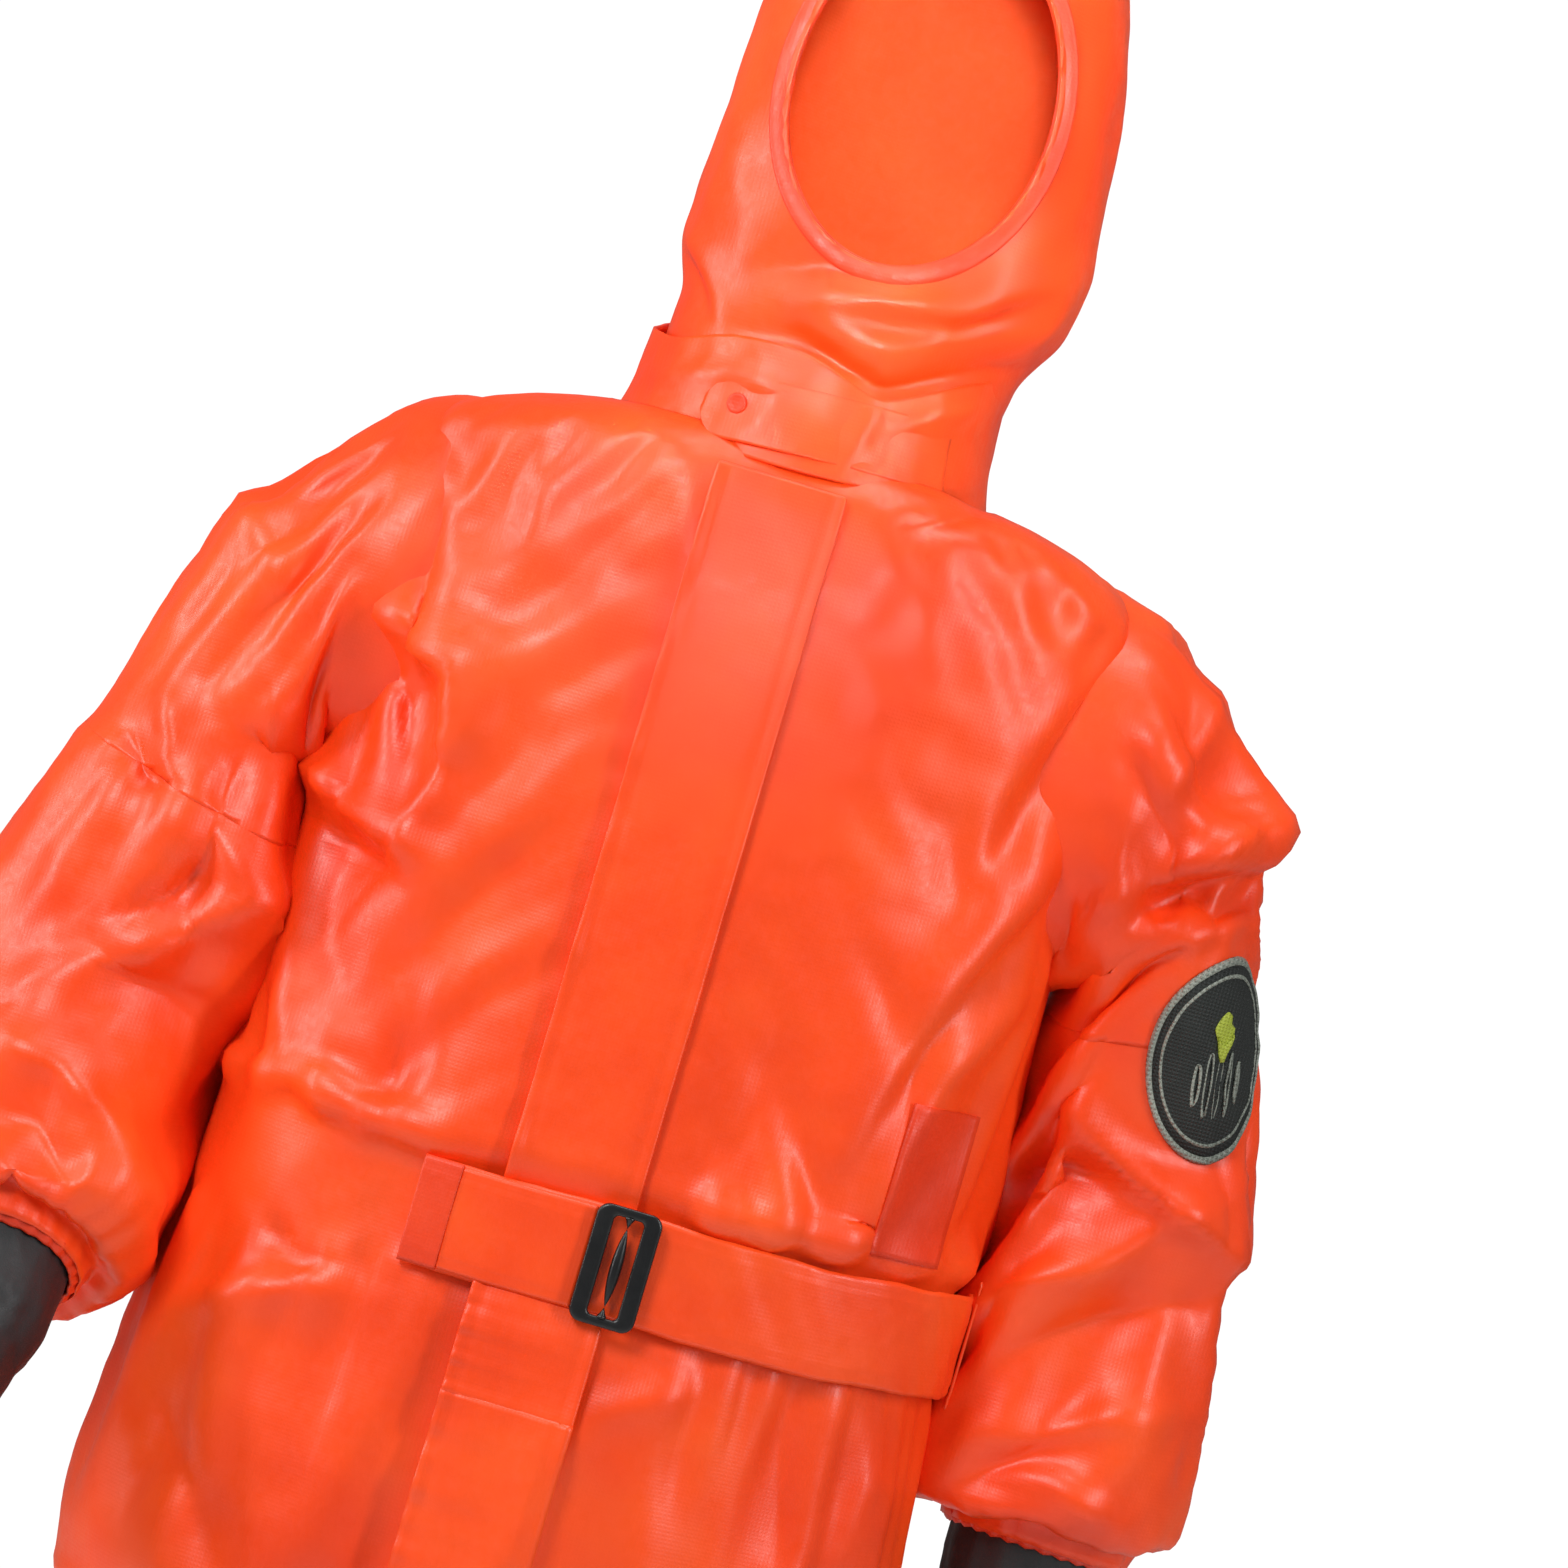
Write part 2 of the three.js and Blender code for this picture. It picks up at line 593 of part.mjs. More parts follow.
const buckle = new THREE.Group();
buckle.rotation.x = Math.PI / 2;
buckle.position.set(BUCKLE.x, -(sectionAt(BODY, BELT.z).front + tailOff[1] + 0.8), BELT.z);
suit.add(buckle);
const frameShape = roundRectangle(BUCKLE.wide, BUCKLE.tall, BUCKLE.corner);
frameShape.holes.push(roundRectangle(BUCKLE.holeWide, BUCKLE.holeTall, 3, THREE.Path));
const frame = new THREE.ExtrudeGeometry(frameShape, {
  depth: BUCKLE.thick,
  bevelEnabled: false,
  curveSegments: 3,
});
add('buckle_frame', closed(frame), blackPlastic, buckle);
const bar = new THREE.CylinderGeometry(BUCKLE.bar / 2, BUCKLE.bar / 2, BUCKLE.holeTall - 2 * GAP, 10);
bar.translate(0, 0, BUCKLE.thick / 2);
add('buckle_bar', closed(bar), blackPlastic, buckle);

// ---------------------------------------------------------------- collar

const collarRing = (z, grow = 0) =>
  levelRing({ y: COLLAR.y, wide: COLLAR.wide + grow, deep: COLLAR.deep + grow }, z);

/** The stand collar: a low wall with a notch at the front. */
function collarSolid() {
  const rings = [
    collarRing(COLLAR.base, COLLAR.flare),
    collarRing(COLLAR.bend),
    collarRing(COLLAR.top, -COLLAR.flare / 2),
  ];
  const wall = solidOf(tube(rings, WALL, 28));
  const notch = new THREE.Shape([
    new THREE.Vector2(NOTCH.x, NOTCH.z),
    new THREE.Vector2(NOTCH.x - NOTCH.right, COLLAR.top + NOTCH.above),
    new THREE.Vector2(NOTCH.x + NOTCH.left, COLLAR.top + NOTCH.above),
  ]);
  const prism = new THREE.ExtrudeGeometry(notch, { depth: FAR, bevelEnabled: false });
  prism.rotateX(Math.PI / 2);
  return wall.subtract(solidOf(closed(prism)));
}

add('collar_band', geometryOf(collarSolid()), orange);

/** A point in front of the collar, by its x. */
function collarFront(x, z, off) {
  const low = Math.max(0, 1 - (z - COLLAR.base) / (COLLAR.bend - COLLAR.base));
  const grow = (COLLAR.flare + 1) * low + off;
  const [wide, deep] = [COLLAR.wide + grow, COLLAR.deep + grow];
  return new THREE.Vector3(x, COLLAR.y - deep * Math.sqrt(1 - (x / wide) ** 2), z);
}

add(
  'collar_tab',
  sheet(8, 3, (u, v, depth) =>
    collarFront(mix(TAB.right, TAB.left, u), mix(TAB.base, TAB.top, v), mix(...TAB.off, depth))),
  orange,
);
const snapTurn = new THREE.Group();
snapTurn.position.copy(collarFront(SNAP.x, SNAP.z, SNAP.off + SNAP.thick));
snapTurn.rotation.z = Math.asin(SNAP.x / COLLAR.wide);
suit.add(snapTurn);
const snapDisc = new THREE.CylinderGeometry(SNAP.radius, SNAP.radius, SNAP.thick, 14);
add('collar_snap', closed(snapDisc), blackPlastic, snapTurn);

const neckRing = (z) => levelRing(NECK, z);
const underHood = levelRing({ ...HOOD[0], wide: 100, front: 100, back: 104 }, HOOD_BASE - GAP);
add(
  'neck_skirt',
  tube([neckRing(NECK.base), neckRing(COLLAR.top + NECK.above), underHood]),
  orangeDark,
);

// ---------------------------------------------------------------- hood

const middleX = HOOD[4].x;

/** An upright oval that runs from far in front back to y, through the face opening. */
function faceOval(grow, y) {
  const oval = new THREE.CylinderGeometry(1, 1, y + FAR, 32);
  oval.scale(FACE.wide + grow, 1, FACE.tall + grow);
  oval.translate(FACE.x, (y - FAR) / 2, FACE.z);
  return solidOf(closed(oval));
}

/** The hood's shell, thicker or thinner by grow on both sides. */
function hoodShell(grow) {
  const rings = HOOD.map((row) => levelRing({ ...row, power: 2.15 }));
  const below = { ...rings[0], middle: rings[0].middle.clone().setZ(HOOD_BASE - PAST) };
  const inside = solidOf(filled([below, ...rings.slice(0, -1)], -WALL - grow, 28));
  return solidOf(filled(rings, grow, 28)).subtract(inside);
}

/** The middle of the hood, from the brow over the crown to the nape, widened by grow. */
function crownRegion(grow) {
  const half = CROWN.half + grow;
  const top = boxSolid([middleX - half, -FAR, CROWN.brow - grow], [middleX + half, FAR, FAR]);
  return top.add(boxSolid([middleX - half, CROWN.back - grow, 0], [middleX + half, FAR, FAR]));
}

const hood = hoodShell(0).subtract(faceOval(FACE.seal + GAP, 0));
const half = (sign) =>
  boxSolid(
    [sign < 0 ? -FAR : middleX + GAP / 2, -FAR, 0],
    [sign < 0 ? middleX - GAP / 2 : FAR, FAR, FAR],
  ).subtract(crownRegion(GAP));
add('hood_left_panel', geometryOf(hood.intersect(half(1))), orange);
add('hood_right_panel', geometryOf(hood.intersect(half(-1))), orange);
add('hood_crown_strip', geometryOf(hood.intersect(crownRegion(0))), orange);
const sealBand = faceOval(FACE.seal, 0).subtract(faceOval(0, PAST));
add('face_seal', geometryOf(hoodShell(FACE.proud).intersect(sealBand)), orangeDark);

// ---------------------------------------------------------------- legs and boots

/** A ring of one leg at height z. */
const legRing = (sign, z) => {
  const row = sectionAt(LEG, z);
  return levelRing({ x: sign * row.x, y: HIP.y, wide: row.wide, deep: row.deep }, z);
};

/** The hollow boot below the ankle: ankle and foot in one moulding. */
function bootSolid(sign) {
  const foot = (grow) => {
    const rows = grow < 0 ? FOOT.slice(1, -1) : FOOT;
    const rings = rows.map(({ y, wide, top }) => ({
      middle: new THREE.Vector3(sign * BOOT.x, y, (top + BOOT.welt) / 2),
      across: new THREE.Vector3(wide, 0, 0),
      deep: new THREE.Vector3(0, 0, (top - BOOT.welt) / 2),
      back: new THREE.Vector3(0, 0, (BOOT.welt - top) / 2),
      power: 2.8,
    }));
    return solidOf(filled(rings, grow, 14));
  };
  const ankle = (grow, top) => {
    const ring = (z, wide, deep) => levelRing({ x: sign * BOOT.x, y: BOOT.y + 4, wide, deep }, z);
    return solidOf(filled([ring(top, 54, 60), ring(-1436, 44, 62)], grow, 18));
  };
  return foot(0).add(ankle(0, BOOT.foot)).subtract(foot(-WALL).add(ankle(-WALL, BOOT.foot + 5)));
}

/** The outline of a boot sole: round heel, narrow waist and round toe. */
function soleShape() {
  const points = [...FOOT, ...FOOT.slice().reverse()].map(({ y, wide }, k) =>
    new THREE.Vector2((k < FOOT.length ? 1 : -1) * (wide + 3), y + (y < -150 ? -4 : y > 60 ? 4 : 0)));
  return new THREE.Shape(points);
}

[['left', 1], ['right', -1]].forEach(([side, sign]) => {
  const level = (z) => legRing(sign, z);
  const hipHeights = [LEG_TOP - GAP, -770, -800 + GAP];
  add(`${side}_hip_section`, tube(hipHeights.map(level), WALL, 20), orange);
  add(`${side}_thigh_leg`, tube([-800, -870, -935].map(level)), orange);
  add(`${side}_knee_section`, tube([-935 - GAP, -1000, -1065 + GAP].map(level)), orange);
  add(`${side}_shin_leg`, tube([-1065, -1180, -1255, -1296].map(level)), orange);

  const shaft = (z, wide, deep) => levelRing({ x: sign * BOOT.x, y: BOOT.y, wide, deep }, z);
  add(`${side}_boot_shaft`, tube([shaft(BOOT.top, 62, 66), shaft(BOOT.ankle, 55, 60)]), blackRubber);
  const anklePlace = { x: sign * BOOT.x, y: BOOT.y + 3, wide: 54, deep: 60 };
  add(
    `${side}_ankle_section`,
    tube([shaft(BOOT.ankle - GAP, 55, 60), levelRing(anklePlace, BOOT.foot + GAP)]),
    blackRubber,
  );
  add(`${side}_boot_foot`, geometryOf(bootSolid(sign)), blackRubber);
  const sole = new THREE.ExtrudeGeometry(soleShape(), {
    depth: BOOT.welt - BOOT.sole - GAP,
    bevelEnabled: false,
  });
  sole.translate(sign * BOOT.x, 0, BOOT.sole);
  add(`${side}_boot_sole`, closed(sole), blackRubber);
});

// ---------------------------------------------------------------- sleeve badge

/** A plain oval badge bent to the outer front of the left upper sleeve. */
function badgeGeometry() {
  const { start, upper } = armLines(ARMS.left);
  const turn = THREE.MathUtils.degToRad(BADGE.turn);
  return sheet(6, 6, (u, v, depth) => {
    const [x, y] = [2 * u - 1, 2 * v - 1];
    const across = (x * Math.sqrt(1 - (y * y) / 2) * BADGE.wide) / 2;
    const along = BADGE.down - (y * Math.sqrt(1 - (x * x) / 2) * BADGE.tall) / 2;
    const share = along / BADGE_CONE.long;
    const [wide, deep] = [mix(...BADGE_CONE.wide, share), mix(...BADGE_CONE.deep, share)];
    const ring = limbRing(start.clone().addScaledVector(upper, along), upper, wide, deep);
    const off = mix(BADGE.lift, BADGE.lift + BADGE.thick, depth);
    return ringPoint(ring, turn + across / BADGE.bend, off);
  });
}

add('sleeve_badge', badgeGeometry(), badgeBlack);

export default suit;
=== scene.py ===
"""A hooded chemical protective suit of glossy rubber-coated cloth, dressed around its fixed frame.

Lengths are metres in the frame's own axes: +Z up, -Y the front, +X the wearer's left. Sizes that a maker
would write in millimetres go through mm().
"""

import json
import logging
import math
from dataclasses import dataclass
from enum import Enum
from typing import Callable, Iterable, Optional, Sequence

import bmesh
import bpy
import numpy as np
from mathutils import Matrix, Vector, noise
from mathutils.bvhtree import BVHTree
from mathutils.interpolate import poly_3d_calc
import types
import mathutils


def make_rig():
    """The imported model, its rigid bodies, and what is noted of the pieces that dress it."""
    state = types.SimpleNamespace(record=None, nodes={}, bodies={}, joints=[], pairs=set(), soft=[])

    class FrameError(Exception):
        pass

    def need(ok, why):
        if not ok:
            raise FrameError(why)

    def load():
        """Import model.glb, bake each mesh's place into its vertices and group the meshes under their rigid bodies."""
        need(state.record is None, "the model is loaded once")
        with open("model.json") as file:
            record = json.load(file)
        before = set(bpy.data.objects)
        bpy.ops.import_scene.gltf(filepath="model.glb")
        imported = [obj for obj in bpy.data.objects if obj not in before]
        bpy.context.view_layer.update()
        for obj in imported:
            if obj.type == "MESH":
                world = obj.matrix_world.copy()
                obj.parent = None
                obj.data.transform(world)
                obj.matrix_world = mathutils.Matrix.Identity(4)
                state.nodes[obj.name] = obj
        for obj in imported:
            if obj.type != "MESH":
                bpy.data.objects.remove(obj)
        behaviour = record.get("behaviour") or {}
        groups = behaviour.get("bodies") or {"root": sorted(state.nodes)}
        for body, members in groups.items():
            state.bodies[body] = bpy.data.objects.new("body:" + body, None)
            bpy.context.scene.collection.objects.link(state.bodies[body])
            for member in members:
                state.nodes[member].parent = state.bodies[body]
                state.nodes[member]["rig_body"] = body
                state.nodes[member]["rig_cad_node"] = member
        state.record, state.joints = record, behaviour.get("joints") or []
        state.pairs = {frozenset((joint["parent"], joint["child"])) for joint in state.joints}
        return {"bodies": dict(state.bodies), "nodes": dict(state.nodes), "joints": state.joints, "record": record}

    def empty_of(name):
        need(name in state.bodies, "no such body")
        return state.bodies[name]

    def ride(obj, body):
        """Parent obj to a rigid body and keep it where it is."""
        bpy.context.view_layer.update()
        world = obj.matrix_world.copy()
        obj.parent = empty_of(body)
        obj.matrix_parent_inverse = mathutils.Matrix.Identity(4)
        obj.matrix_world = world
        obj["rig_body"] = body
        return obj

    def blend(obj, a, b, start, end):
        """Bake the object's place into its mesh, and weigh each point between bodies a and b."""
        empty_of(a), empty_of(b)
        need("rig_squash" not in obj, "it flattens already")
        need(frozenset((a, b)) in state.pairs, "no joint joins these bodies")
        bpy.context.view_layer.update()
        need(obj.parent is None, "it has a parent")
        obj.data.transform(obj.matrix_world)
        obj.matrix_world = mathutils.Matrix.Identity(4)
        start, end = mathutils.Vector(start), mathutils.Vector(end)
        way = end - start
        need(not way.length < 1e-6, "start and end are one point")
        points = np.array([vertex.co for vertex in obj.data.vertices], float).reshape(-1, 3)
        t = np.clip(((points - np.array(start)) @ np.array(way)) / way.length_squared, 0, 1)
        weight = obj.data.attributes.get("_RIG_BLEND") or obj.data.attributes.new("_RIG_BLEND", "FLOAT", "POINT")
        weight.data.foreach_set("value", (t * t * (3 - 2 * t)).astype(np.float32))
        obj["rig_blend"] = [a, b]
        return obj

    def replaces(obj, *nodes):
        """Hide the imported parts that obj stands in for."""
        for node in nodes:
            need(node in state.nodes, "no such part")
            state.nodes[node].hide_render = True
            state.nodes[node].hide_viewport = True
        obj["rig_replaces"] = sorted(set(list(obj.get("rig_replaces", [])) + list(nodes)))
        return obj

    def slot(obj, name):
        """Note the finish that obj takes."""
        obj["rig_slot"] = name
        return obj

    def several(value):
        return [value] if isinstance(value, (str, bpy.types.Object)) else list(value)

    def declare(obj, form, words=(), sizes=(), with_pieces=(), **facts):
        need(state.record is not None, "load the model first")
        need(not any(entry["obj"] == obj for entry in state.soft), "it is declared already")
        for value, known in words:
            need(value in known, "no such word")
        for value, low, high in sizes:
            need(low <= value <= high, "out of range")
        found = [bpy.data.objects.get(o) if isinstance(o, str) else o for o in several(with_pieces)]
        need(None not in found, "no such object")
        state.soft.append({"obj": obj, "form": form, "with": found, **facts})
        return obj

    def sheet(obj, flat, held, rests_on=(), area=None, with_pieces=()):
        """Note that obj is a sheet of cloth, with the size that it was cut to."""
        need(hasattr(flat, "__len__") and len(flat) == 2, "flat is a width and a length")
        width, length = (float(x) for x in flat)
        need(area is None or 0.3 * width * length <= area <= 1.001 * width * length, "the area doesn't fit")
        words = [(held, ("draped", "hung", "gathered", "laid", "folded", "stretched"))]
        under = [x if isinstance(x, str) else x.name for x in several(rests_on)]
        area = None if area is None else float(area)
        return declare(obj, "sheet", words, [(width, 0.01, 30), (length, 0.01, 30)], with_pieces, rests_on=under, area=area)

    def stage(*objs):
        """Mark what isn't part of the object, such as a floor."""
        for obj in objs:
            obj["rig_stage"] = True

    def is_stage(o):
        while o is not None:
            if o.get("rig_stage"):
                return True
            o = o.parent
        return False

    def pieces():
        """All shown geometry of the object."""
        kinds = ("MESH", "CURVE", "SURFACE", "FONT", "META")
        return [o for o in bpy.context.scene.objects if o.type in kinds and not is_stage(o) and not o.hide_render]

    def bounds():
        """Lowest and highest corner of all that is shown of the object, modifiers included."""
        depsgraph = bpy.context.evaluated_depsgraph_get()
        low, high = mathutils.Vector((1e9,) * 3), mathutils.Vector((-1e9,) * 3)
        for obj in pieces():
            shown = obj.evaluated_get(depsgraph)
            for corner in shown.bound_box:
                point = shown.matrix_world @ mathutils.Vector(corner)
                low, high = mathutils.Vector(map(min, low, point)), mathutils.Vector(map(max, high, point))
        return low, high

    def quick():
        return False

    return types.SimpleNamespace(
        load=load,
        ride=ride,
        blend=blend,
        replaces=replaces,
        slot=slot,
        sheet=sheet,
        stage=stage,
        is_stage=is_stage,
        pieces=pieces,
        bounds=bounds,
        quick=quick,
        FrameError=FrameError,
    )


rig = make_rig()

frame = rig.load()
CAD_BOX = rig.bounds()
LOG = logging.getLogger("suit")
Object = bpy.types.Object
UP = np.array((0.0, 0.0, 1.0))
AHEAD = np.array((0.0, -1.0, 0.0))
SIDES = ("left", "right")
# where the eye looks, in x and z, and how far off it stands: the folds are drawn as it sees them
EYE_AIM = np.array((0.043, -0.184))
EYE_DISTANCE = 3.0
FOLD_GAIN = 1.35  # worn coated cloth folds this much more sharply than new cloth
# thicknesses in millimetres: the body's cloth, the limbs' cloth and the hood's
BODY_CLOTH, LIMB_CLOTH, HOOD_CLOTH = 1.2, 1.1, 1.4
LAP = 4  # how far the lower half of a parted tube reaches up inside the upper half, in millimetres
# the badge's middle: millimetres down the arm, and degrees from the arm's outer side to its front
BADGE_DOWN, BADGE_TURN = 66, 64
BADGE_ARM = (60, 80)  # half width and half depth of the arm under it, in millimetres
TUCK = 1.6  # how far the lap is drawn in, in millimetres
OUTSIDE = 9.0  # stands for far outside an opening, where the opening's size is 1
BLOTCH = 140  # how far apart the faint changes of a finish's colour are, in millimetres
THREAD_BANDS = 20 / math.tau  # the bands that a wave texture of scale 1 has in one unit
THREADS_COARSER = 1.974  # threads are drawn this much coarser than life, so that they show


# ------------------------------------------------------------------ small tools


def mm(*values: float) -> np.ndarray | float:
    """Millimetres as metres: one number, or an array of several."""
    return values[0] / 1000 if len(values) == 1 else np.array(values, float) / 1000


def mix(low: float, high: float, share: float) -> float:
    """The value a share of the way from low to high."""
    return low + (high - low) * share


def smooth(value: np.ndarray | float, low: float, high: float) -> np.ndarray | float:
    """0 at low, 1 at high and an easy curve between them."""
    share = np.clip((value - low) / (high - low), 0, 1)
    return share * share * (3 - 2 * share)


def unit(vector: np.ndarray) -> np.ndarray:
    """The vector at length one."""
    return vector / np.linalg.norm(vector)


def wander(points: np.ndarray, size: float, seed: float) -> np.ndarray:
    """Smooth noise from -1 to 1 at each point, whose lumps are about size across."""
    shift = Vector((seed, seed * 1.7, seed * 2.3))
    return np.array([noise.noise(Vector(p) / size + shift) for p in points])


def as_seen(points: np.ndarray, back: bool = False) -> np.ndarray:
    """Where points seem to be in X and Z to an eye in front of the suit, or behind it.

    Args:
        points: The points.
        back: Whether the eye is behind.

    Returns:
        One x and z for each.
    """
    nearer = 1 + (points[:, 1] if back else -points[:, 1]) / EYE_DISTANCE
    return EYE_AIM + (points[:, [0, 2]] - EYE_AIM) * nearer[:, None]


def make_mesh(name: str, points: np.ndarray, faces: Sequence[Sequence[int]]) -> Object:
    """A smooth-shaded mesh object in the scene.

    Args:
        name: The piece's name.
        points: Its corners, one row each.
        faces: The corners of each face.

    Returns:
        The new object.
    """
    mesh = bpy.data.meshes.new(name)
    mesh.from_pydata([tuple(p) for p in points], [], [tuple(f) for f in faces])
    mesh.shade_smooth()
    piece = bpy.data.objects.new(name, mesh)
    bpy.context.scene.collection.objects.link(piece)
    return piece


def grid_mesh(name: str, points: np.ndarray, wrap: bool = True, caps: bool = False) -> Object:
    """A mesh through a grid of points.

    Args:
        name: The piece's name.
        points: Rows by columns by three.
        wrap: Whether the last column joins the first.
        caps: Whether the first and last rows are closed with one face each.

    Returns:
        The new object.
    """
    rows, columns = points.shape[:2]
    reach = columns if wrap else columns - 1
    faces = []
    for r in range(rows - 1):
        for c in range(reach):
            d = (c + 1) % columns
            faces.append((r * columns + c, r * columns + d, (r + 1) * columns + d, (r + 1) * columns + c))
    if caps:
        faces.append(tuple(range(columns))[::-1])
        faces.append(tuple((rows - 1) * columns + c for c in range(columns)))
    piece = make_mesh(name, points.reshape(-1, 3), faces)
    face_out(piece)
    return piece


def face_out(piece: Object) -> None:
    """Turns a piece's faces to agree, away from its middle."""
    shape = bmesh.new()
    shape.from_mesh(piece.data)
    bmesh.ops.recalc_face_normals(shape, faces=shape.faces)
    middle = sum((v.co for v in shape.verts), Vector()) / len(shape.verts)
    out = sum((f.calc_center_median() - middle).dot(f.normal) * f.calc_area() for f in shape.faces)
    if out < 0:
        bmesh.ops.reverse_faces(shape, faces=shape.faces)
    shape.to_mesh(piece.data)
    shape.free()


def corners(piece: Object) -> np.ndarray:
    """A piece's corners, one row each."""
    found = np.empty(len(piece.data.vertices) * 3)
    piece.data.vertices.foreach_get("co", found)
    return found.reshape(-1, 3)


def corner_normals(piece: Object) -> np.ndarray:
    """The way out at each of a piece's corners."""
    found = np.empty(len(piece.data.vertices) * 3)
    piece.data.vertices.foreach_get("normal", found)
    return found.reshape(-1, 3)


def set_corners(piece: Object, points: np.ndarray) -> None:
    """Moves a piece's corners."""
    piece.data.vertices.foreach_set("co", points.ravel())
    piece.data.update()


def bake(piece: Object) -> Object:
    """Makes a piece's modifiers part of its mesh."""
    depsgraph = bpy.context.evaluated_depsgraph_get()
    mesh = bpy.data.meshes.new_from_object(piece.evaluated_get(depsgraph))
    piece.modifiers.clear()
    old = piece.data
    piece.data = mesh
    mesh.name = piece.name
    bpy.data.meshes.remove(old)
    return piece


def shaped(piece: Object, kind: str, **settings: object) -> Object:
    """Adds one modifier, sets it, and makes it part of the mesh.

    Args:
        piece: The piece to change.
        kind: Blender's name of the modifier.
        **settings: What the modifier is set to.

    Returns:
        The same piece.
    """
    modifier = piece.modifiers.new(kind.lower(), kind)
    for key, value in settings.items():
        setattr(modifier, key, value)
    return bake(piece)


def thicken(piece: Object, thickness: float, inside_material: int = 0) -> Object:
    """Gives a sheet its thickness, on the inside, which may be of another material."""
    while inside_material and len(piece.data.materials) <= inside_material:
        piece.data.materials.append(None)
    return shaped(piece, "SOLIDIFY", thickness=thickness, offset=-1.0, use_even_offset=False,
                  material_offset=inside_material)


def joined(name: str, pieces: Iterable[Object]) -> Object:
    """One mesh made of several, which go."""
    shape = bmesh.new()
    for piece in pieces:
        piece.data.transform(piece.matrix_world)
        shape.from_mesh(piece.data)
    mesh = bpy.data.meshes.new(name)
    shape.to_mesh(mesh)
    shape.free()
    mesh.shade_smooth()
    for piece in list(pieces):
        bpy.data.objects.remove(piece)
    whole = bpy.data.objects.new(name, mesh)
    bpy.context.scene.collection.objects.link(whole)
    return whole


def without(piece: Object, gone: Callable[[np.ndarray], bool]) -> Object:
    """Cuts away the faces whose middles the test picks."""
    shape = bmesh.new()
    shape.from_mesh(piece.data)
    faces = [f for f in shape.faces if gone(np.array(f.calc_center_median()))]
    bmesh.ops.delete(shape, geom=faces, context="FACES")
    shape.to_mesh(piece.data)
    shape.free()
    return piece


def copy_of(piece: Object, name: str) -> Object:
    """A free-standing copy of a piece's mesh."""
    mesh = piece.data.copy()
    twin = bpy.data.objects.new(name, mesh)
    twin.data.materials.clear()
    bpy.context.scene.collection.objects.link(twin)
    return twin


def outline_prism(name: str, outline: np.ndarray, low: float, high: float, bevel: float) -> Object:
    """A flat outline in X and Y raised from low to high, with its edges rounded.

    Args:
        name: The piece's name.
        outline: The outline's corners, x and y.
        low: The height of its underside.
        high: The height of its top.
        bevel: The radius of its edges.

    Returns:
        The new object.
    """
    rows = [np.column_stack([outline, np.full(len(outline), z)]) for z in (low, high)]
    piece = grid_mesh(name, np.array(rows), caps=True)
    shaped(piece, "BEVEL", width=bevel, segments=3, limit_method="ANGLE")
    return piece


# ------------------------------------------------------------------ rings and tubes


@dataclass(frozen=True)
class Ring:
    """One section of a tube: its middle, and its half widths across, to the front and to the back."""

    middle: np.ndarray
    across: np.ndarray
    front: np.ndarray
    back: np.ndarray
    power: float = 2.0

    def row(self) -> np.ndarray:
        """The ring as one row of numbers."""
        return np.concatenate([self.middle, self.across, self.front, self.back, [self.power]])

    def moved(self, by: np.ndarray) -> "Ring":
        """The same ring elsewhere."""
        return Ring(self.middle + by, self.across, self.front, self.back, self.power)


def level_ring(z: float, wide: float, front: float, back: float, x: float = 0.0, y: float = 0.0,
               power: float = 2.0) -> Ring:
    """A level ring round the body, in metres."""
    return Ring(np.array((x, y, z)), np.array((wide, 0, 0)), np.array((0, -front, 0)),
                np.array((0, back, 0)), power)


def limb_ring(middle: np.ndarray, line: np.ndarray, wide: float, deep: float) -> Ring:
    """A ring square to a limb's line."""
    along = unit(AHEAD - line * float(AHEAD @ line))
    across = unit(np.cross(along, line))
    return Ring(middle, across * wide, along * deep, -along * deep)


def ring_points(row: np.ndarray, angles: np.ndarray, power: float) -> np.ndarray:
    """The points of one ring's row at these angles."""
    middle, across, front, back = (row[k:k + 3] for k in (0, 3, 6, 9))
    c, s = np.cos(angles), np.sin(angles)
    wide = np.sign(c) * np.abs(c) ** (2 / power)
    deep = np.abs(s) ** (2 / power)
    depth = np.where((s >= 0)[:, None], front, back)
    return middle + wide[:, None] * across + deep[:, None] * depth


def swept(rings: Sequence[Ring], rows: int, columns: int) -> np.ndarray:
    """A grid of points on the smooth tube through some rings.

    Args:
        rings: The sections, in order.
        rows: How many rows of points.
        columns: How many points round each row.

    Returns:
        Rows by columns by three.
    """
    table = np.array([ring.row() for ring in rings])
    steps = np.linalg.norm(np.diff(table[:, :12], axis=0), axis=1)
    at = np.concatenate([[0], np.cumsum(steps)])
    slope = np.gradient(table, at, axis=0)
    angles = np.arange(columns) * math.tau / columns
    grid = []
    for t in np.linspace(0, at[-1], rows):
        k = min(np.searchsorted(at, t, side="right") - 1, len(at) - 2)
        h = at[k + 1] - at[k]
        u = (t - at[k]) / h
        row = (
            (2 * u**3 - 3 * u**2 + 1) * table[k]
            + (u**3 - 2 * u**2 + u) * h * slope[k]
            + (3 * u**2 - 2 * u**3) * table[k + 1]
            + (u**3 - u**2) * h * slope[k + 1]
        )
        grid.append(ring_points(row, angles, max(row[12], 1.6)))
    return np.array(grid)


# ------------------------------------------------------------------ cloth


# says for each corner how much of something there is, from 0 to 1
Share = Callable[[np.ndarray], np.ndarray]


